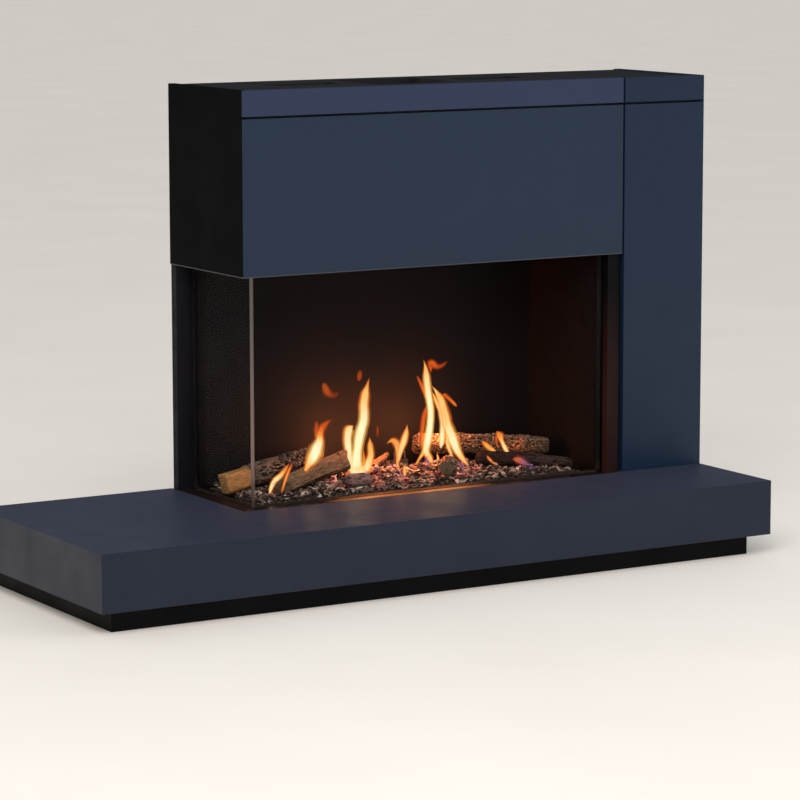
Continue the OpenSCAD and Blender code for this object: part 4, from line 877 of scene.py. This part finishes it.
# Each flame: its foot, then its strands
FLAMES = {
    "flame_1": ((150, 85, 190), [
        ([(269.5, 493.5, 3.5, 0.75, 0.1), (271.5, 487, 5, 0.95, 0), (275, 481, 6, 0.98, 0),
          (281, 475.5, 6, 0.85, 0), (285.5, 469.5, 5, 0.6, 0), (289.5, 463, 2.5, 0.35, 0)], 1.0),
        ([(281.5, 493, 2, 0.35, 0), (283.5, 486, 3, 0.55, 0), (286, 478, 3.5, 0.6, 0),
          (289, 470, 4, 0.5, 0), (292.5, 462, 2.5, 0.28, 0)], 0.7)]),
    "flame_2": ((236, 128, 206), [
        ([(304, 481.5, 2.5, 0.45, 0), (304.5, 474, 3.6, 0.62, 0), (307.5, 466.5, 7, 0.85, 0),
          (312.5, 457.5, 14, 1.05, 0), (316.5, 449, 15, 1.1, 0), (319.5, 441, 10.5, 0.95, 0),
          (320.5, 433, 8.5, 0.45, 0), (323, 426.5, 8, 0.25, 0), (328, 421.5, 6, 0.12, 0),
          (333, 418.5, 3, 0.05, 0)], 1.0),
        ([(317, 437, 6, 0.35, 0), (316.5, 429, 6, 0.2, 0), (316.5, 421, 3, 0.08, 0)], 0.55)]),
    "flame_3": ((424, 195, 202), [
        ([(355, 475.5, 10, 1.0, 0), (356.5, 463, 13, 1.1, 0), (357.5, 450, 10.5, 1.1, 0),
          (360, 434, 12, 1.1, 0), (364, 419, 11, 1.0, 0), (364, 404, 11, 0.78, 0),
          (366, 391, 10, 0.66, 0), (369.6, 377.5, 3.5, 0.35, 0)], 1.0),
        ([(352.5, 474, 9, 1.0, 0), (350, 461, 8.5, 0.95, 0), (348.4, 449, 9.5, 0.95, 0),
          (347.6, 438, 10.5, 0.9, 0), (349.4, 429.5, 11.5, 0.8, 0),
          (353.5, 425.5, 6, 0.6, 0)], 1.0),
        ([(361, 474.5, 12, 1.0, 0), (367, 466, 11, 0.95, 0), (370.6, 456, 8.5, 0.8, 0),
          (370.3, 446, 8, 0.7, 0), (369.6, 436, 2.5, 0.5, 0)], 0.85),
        ([(363.5, 466, 4, 0.6, 0), (363.8, 457, 4, 0.5, 0), (363, 449.5, 1.5, 0.3, 0)], 0.7),
        ([(357, 474.5, 18, 0.95, 0), (358, 468, 17, 0.95, 0), (359, 461, 8, 0.7, 0)], 0.8)]),
    "flame_4": ((514, 150, 192), [
        ([(404, 479, 2.5, 0.5, 0.55), (399.5, 472, 3, 0.55, 0.3), (397.3, 463, 3.5, 0.6, 0.05),
          (398, 454, 5, 0.68, 0), (397, 445, 9, 0.62, 0.05), (392.5, 440.5, 8, 0.6, 0),
          (386, 443.5, 4, 0.5, 0)], 0.85),
        ([(397.5, 464, 3.5, 0.6, 0.05), (400, 453, 5.5, 0.8, 0), (403, 443, 7.5, 0.85, 0),
          (405.8, 433, 6.5, 0.7, 0), (407.4, 423, 2, 0.45, 0)], 1.0),
        ([(404.8, 476.5, 3, 0.6, 0.25), (404.6, 471.5, 4, 0.75, 0), (404, 465, 1.6, 0.6, 0)], 0.9),
        ([(402, 479.5, 3, 0.3, 0.85), (394, 471.5, 3.5, 0.35, 0.6),
          (388, 462, 2, 0.3, 0.25)], 0.55)]),
    "flame_5": ((656, 215, 200), [
        ([(434, 467, 4, 0.6, 0.25), (430, 459, 7, 0.8, 0), (426, 450.5, 8, 1.0, 0),
          (427.7, 439.5, 8.5, 1.1, 0), (430.3, 422, 7.5, 1.1, 0), (430.2, 406, 7.5, 1.05, 0),
          (428, 391, 8, 1.0, 0), (426.6, 377, 8, 0.9, 0), (425.2, 366, 5.5, 0.7, 0),
          (423.2, 358.5, 2, 0.4, 0)], 1.0),
        ([(415, 466, 2.5, 0.6, 0.05), (419, 459, 3.5, 0.75, 0), (423.5, 452, 5, 0.85, 0),
          (425.5, 445, 5, 0.8, 0)], 0.85),
        ([(422.5, 449, 4, 0.35, 0), (421.8, 436, 5, 0.3, 0), (423.5, 420, 6, 0.28, 0),
          (426.5, 405, 4, 0.25, 0)], 0.7),
        ([(427, 399, 4.5, 0.4, 0), (422, 386.5, 4.5, 0.3, 0), (416.8, 374.5, 2, 0.15, 0)], 0.75),
        ([(468.5, 466, 3, 0.6, 0.2), (462.5, 458.5, 6, 0.85, 0), (456.5, 449, 9, 1.0, 0),
          (452, 437, 12, 1.0, 0), (447.5, 425.5, 12, 0.92, 0), (444.8, 413, 10.5, 0.85, 0),
          (441.5, 401, 9, 0.8, 0), (436.5, 392, 6.5, 0.7, 0), (431, 385, 3, 0.5, 0)], 1.0),
        ([(440.7, 448, 5, 0.9, 0), (442, 438, 6.5, 1.05, 0), (442.4, 424, 6, 1.05, 0),
          (440.5, 411, 6, 0.9, 0), (435.8, 400.5, 5, 0.75, 0), (432, 392, 2.5, 0.5, 0)], 1.0),
        ([(460.5, 475.5, 2.4, 0.3, 0.8), (456, 466, 3.4, 0.5, 0.5), (451, 454, 4, 0.7, 0.1),
          (447.5, 444, 5, 0.8, 0), (446.5, 432, 4, 0.8, 0)], 0.8),
        ([(443.5, 394, 6, 0.4, 0), (448.8, 398.5, 4.5, 0.4, 0), (453.5, 402.5, 4.2, 0.45, 0),
          (457.2, 406.5, 2, 0.3, 0)], 0.8),
        ([(431, 372, 3, 0.25, 0), (430.5, 362.5, 8, 0.28, 0), (436.5, 366, 7, 0.2, 0),
          (442, 365.5, 4, 0.14, 0), (447.8, 361, 3, 0.05, 0)], 0.6),
        ([(436.5, 461.5, 2.5, 0.5, 0.1), (438, 458.5, 3, 0.7, 0), (436.8, 454, 1.2, 0.5, 0)], 0.8),
        ([(427, 470, 9, 0.2, 0.9), (427, 462, 7, 0.3, 0.7), (427, 455, 3, 0.4, 0.4)], 0.5),
        ([(466, 473, 9, 0.2, 0.9), (461, 466, 6, 0.3, 0.75), (457, 460, 3, 0.4, 0.5)], 0.5)]),
    "flame_6": ((846, 165, 205), [
        ([(508.5, 453, 3.5, 0.75, 0), (505, 448, 5, 0.85, 0), (501.8, 441.5, 4.6, 0.75, 0),
          (499.5, 436, 9, 0.55, 0), (496.5, 431.5, 6, 0.4, 0)], 0.95),
        ([(497.5, 447, 2, 0.3, 0), (496.3, 441, 3, 0.35, 0), (496.3, 435.5, 4, 0.4, 0)], 0.6),
        ([(496, 452.5, 3.5, 0.7, 0), (490.5, 448.5, 6.5, 0.72, 0), (485.5, 444, 6.5, 0.6, 0),
          (481.5, 440.3, 3, 0.4, 0)], 0.85)]),
    "flame_7": ((800, 140, 196), [
        ([(498, 465, 3, 0.35, 0.35), (492.5, 462, 4, 0.6, 0), (489, 458.5, 3.4, 0.5, 0),
          (486.5, 454.5, 1.6, 0.35, 0)], 0.8),
        ([(541, 472, 3, 0.2, 0.9), (530, 466, 5, 0.2, 0.85), (520, 460, 9, 0.3, 0.2),
          (512, 458.5, 5, 0.2, 0)], 0.45)]),
    "flame_wisps": ((424, 205, 202), [
        ([(323.8, 382.5, 4, 0.12, 0), (325.3, 388, 9, 0.22, 0), (328.5, 392.5, 9.5, 0.18, 0),
          (334, 395, 6.5, 0.08, 0), (340, 391, 4.5, 0.0, 0)], 0.24),
        ([(358.5, 380.5, 3.5, 0.08, 0), (359.5, 375.5, 6, 0.14, 0),
          (360.3, 370.5, 3, 0.05, 0)], 0.24),
        ([(377.3, 437, 1.5, 0.05, 0), (377.4, 431, 2.8, 0.12, 0),
          (377.5, 425, 1.8, 0.02, 0)], 0.22)]),
}
FLAME_LOOK = flame_look()
for number, (name, (foot, strands)) in enumerate(FLAMES.items()):
    make_flame(name, foot, strands, FLAME_LOOK, number * 2.3)

# ---- Glass: it casts no shadow, and diffuse light passes it ----

for name in ("front_glass", "side_glass"):
    nodes[name].visible_shadow = False
    nodes[name].visible_diffuse = False

# ---- Floor, world and lights ----

floor_look = Look("pale_floor", 0.6, spec=0.3)
floor_look.put("Base Color", floor_look.mix(
    floor_look.noise(1.5, 4.0), linear(222, 217, 210), linear(232, 228, 222)))
floor_mesh = bpy.data.meshes.new("floor")
FLOOR_REACH = 60
floor_mesh.from_pydata([(x * FLOOR_REACH, y * FLOOR_REACH, 0)
                        for x, y in ((-1, -1), (1, -1), (1, 1), (-1, 1))], [], [(0, 1, 2, 3)])
floor = bpy.data.objects.new("floor", floor_mesh)
floor.data.materials.append(floor_look.m)
scene.collection.objects.link(floor)

world = bpy.data.worlds.new("studio")
scene.world = world
world.use_nodes = True
tree = world.node_tree
# The studio as it lights the part, as it is mirrored and as the camera sees it
sky = tree.nodes["Background"]
dim = tree.nodes.new("ShaderNodeBackground")
back = tree.nodes.new("ShaderNodeBackground")
for shade, colour, strength in ((sky, linear(244, 243, 242), 0.75),
                                (dim, linear(120, 124, 132), 0.5),
                                (back, linear(243, 241, 238), 1.0)):
    shade.inputs["Color"].default_value = colour
    shade.inputs["Strength"].default_value = strength
path = tree.nodes.new("ShaderNodeLightPath")
pick = tree.nodes.new("ShaderNodeMixShader")
seen = tree.nodes.new("ShaderNodeMixShader")
tree.links.new(path.outputs["Is Glossy Ray"], pick.inputs[0])
tree.links.new(sky.outputs[0], pick.inputs[1])
tree.links.new(dim.outputs[0], pick.inputs[2])
tree.links.new(path.outputs["Is Camera Ray"], seen.inputs[0])
tree.links.new(pick.outputs[0], seen.inputs[1])
tree.links.new(back.outputs[0], seen.inputs[2])
tree.links.new(seen.outputs[0], tree.nodes["World Output"].inputs["Surface"])


def light(name, kind, place, energy, colour, size, aim=None, glossy=True):
    data = bpy.data.lights.new(name, kind)
    data.energy = energy
    data.color = colour
    if kind == "AREA":
        data.shape = "RECTANGLE"
        data.size, data.size_y = size
    else:
        data.shadow_soft_size = size
    lamp = bpy.data.objects.new(name, data)
    lamp.location = place
    if aim is not None:
        lamp.rotation_euler = (Vector(aim) - Vector(place)).to_track_quat("-Z", "Y").to_euler()
    lamp.visible_glossy = glossy
    lamp.visible_camera = False
    lamp.visible_transmission = False
    scene.collection.objects.link(lamp)
    return lamp


sun = bpy.data.lights.new("sun", "SUN")
sun.energy = 1.2
sun.angle = 0.9
sun.color = (1.0, 0.985, 0.96)
sun_lamp = bpy.data.objects.new("sun", sun)
sun_lamp.rotation_euler = Vector((0.42, 0.62, -0.72)).to_track_quat("-Z", "Y").to_euler()
sun_lamp.visible_glossy = False
scene.collection.objects.link(sun_lamp)
light("key", "AREA", (-2.2, -3.4, 3.2), 90, (1.0, 0.98, 0.95), (2.4, 1.8), (0, 0, 0.5), False)
light("fill", "AREA", (3.0, -2.8, 2.0), 40, (0.92, 0.95, 1.0), (2.0, 2.0), (0, 0, 0.5), False)
FIRE = (1.0, 0.27, 0.08)
for name, (x, y, z), energy in (
        ("fire_1", (262, 150, 235), 0.6), ("fire_2", (415, 235, 285), 5.5),
        ("fire_3", (520, 170, 225), 0.6), ("fire_4", (655, 225, 290), 3.0),
        ("fire_5", (850, 180, 235), 0.2)):
    light(name, "POINT", at(x, y, z), energy, FIRE, 0.03, glossy=False)


def only_on(lamp, name):
    """The lamp lights this node alone."""
    lit = bpy.data.collections.new(lamp.name)
    lit.objects.link(nodes[name])
    lamp.light_linking.receiver_collection = lit


def two_humps(lamp, stops):
    """Along its length the lamp is as bright as the stops say, as (place, share) pairs."""
    lamp.data.use_nodes = True
    tree = lamp.data.node_tree
    along = tree.nodes.new("ShaderNodeNewGeometry").outputs["Parametric"]
    ramp = tree.nodes.new("ShaderNodeValToRGB")
    ramp.color_ramp.interpolation = "EASE"
    set_stops(ramp.color_ramp, [(place, (share, share, share)) for place, share in stops])
    split = tree.nodes.new("ShaderNodeSeparateXYZ")
    tree.links.new(along, split.inputs[0])
    tree.links.new(split.outputs["X"], ramp.inputs[0])
    tree.links.new(ramp.outputs["Color"], tree.nodes["Emission"].inputs["Strength"])
    return lamp


# The two big flames' long reflection in the dark ledge and along the foot of the pane
HUMPS = [(0.0, 0.0), (0.16, 0.55), (0.32, 1.0), (0.52, 0.5), (0.72, 0.95), (0.86, 0.4),
         (1.0, 0.0)]
GLOW_X = 455
ledge_glow = light("ledge_glow", "AREA", at(GLOW_X, 29, 188), 0.042, (1.0, 0.35, 0.11),
                   (0.48, 0.014), at(GLOW_X, 0, 188))
foot_glow = light("foot_glow", "AREA", at(GLOW_X, 16, 185), 0.65, (1.0, 0.33, 0.09),
                  (0.44, 0.008), at(GLOW_X, 34, 184), False)
only_on(two_humps(ledge_glow, HUMPS), "front_ledge_strip")
only_on(two_humps(foot_glow, HUMPS), "glass_gasket")
# The glow of the middle flame on the wall behind it
wall_glow = light("wall_glow", "POINT", at(585, 262, 292), 3.0, FIRE, 0.03, glossy=False)
only_on(wall_glow, "chamber_liner")

scene.view_settings.view_transform = "Standard"
scene.view_settings.look = "None"
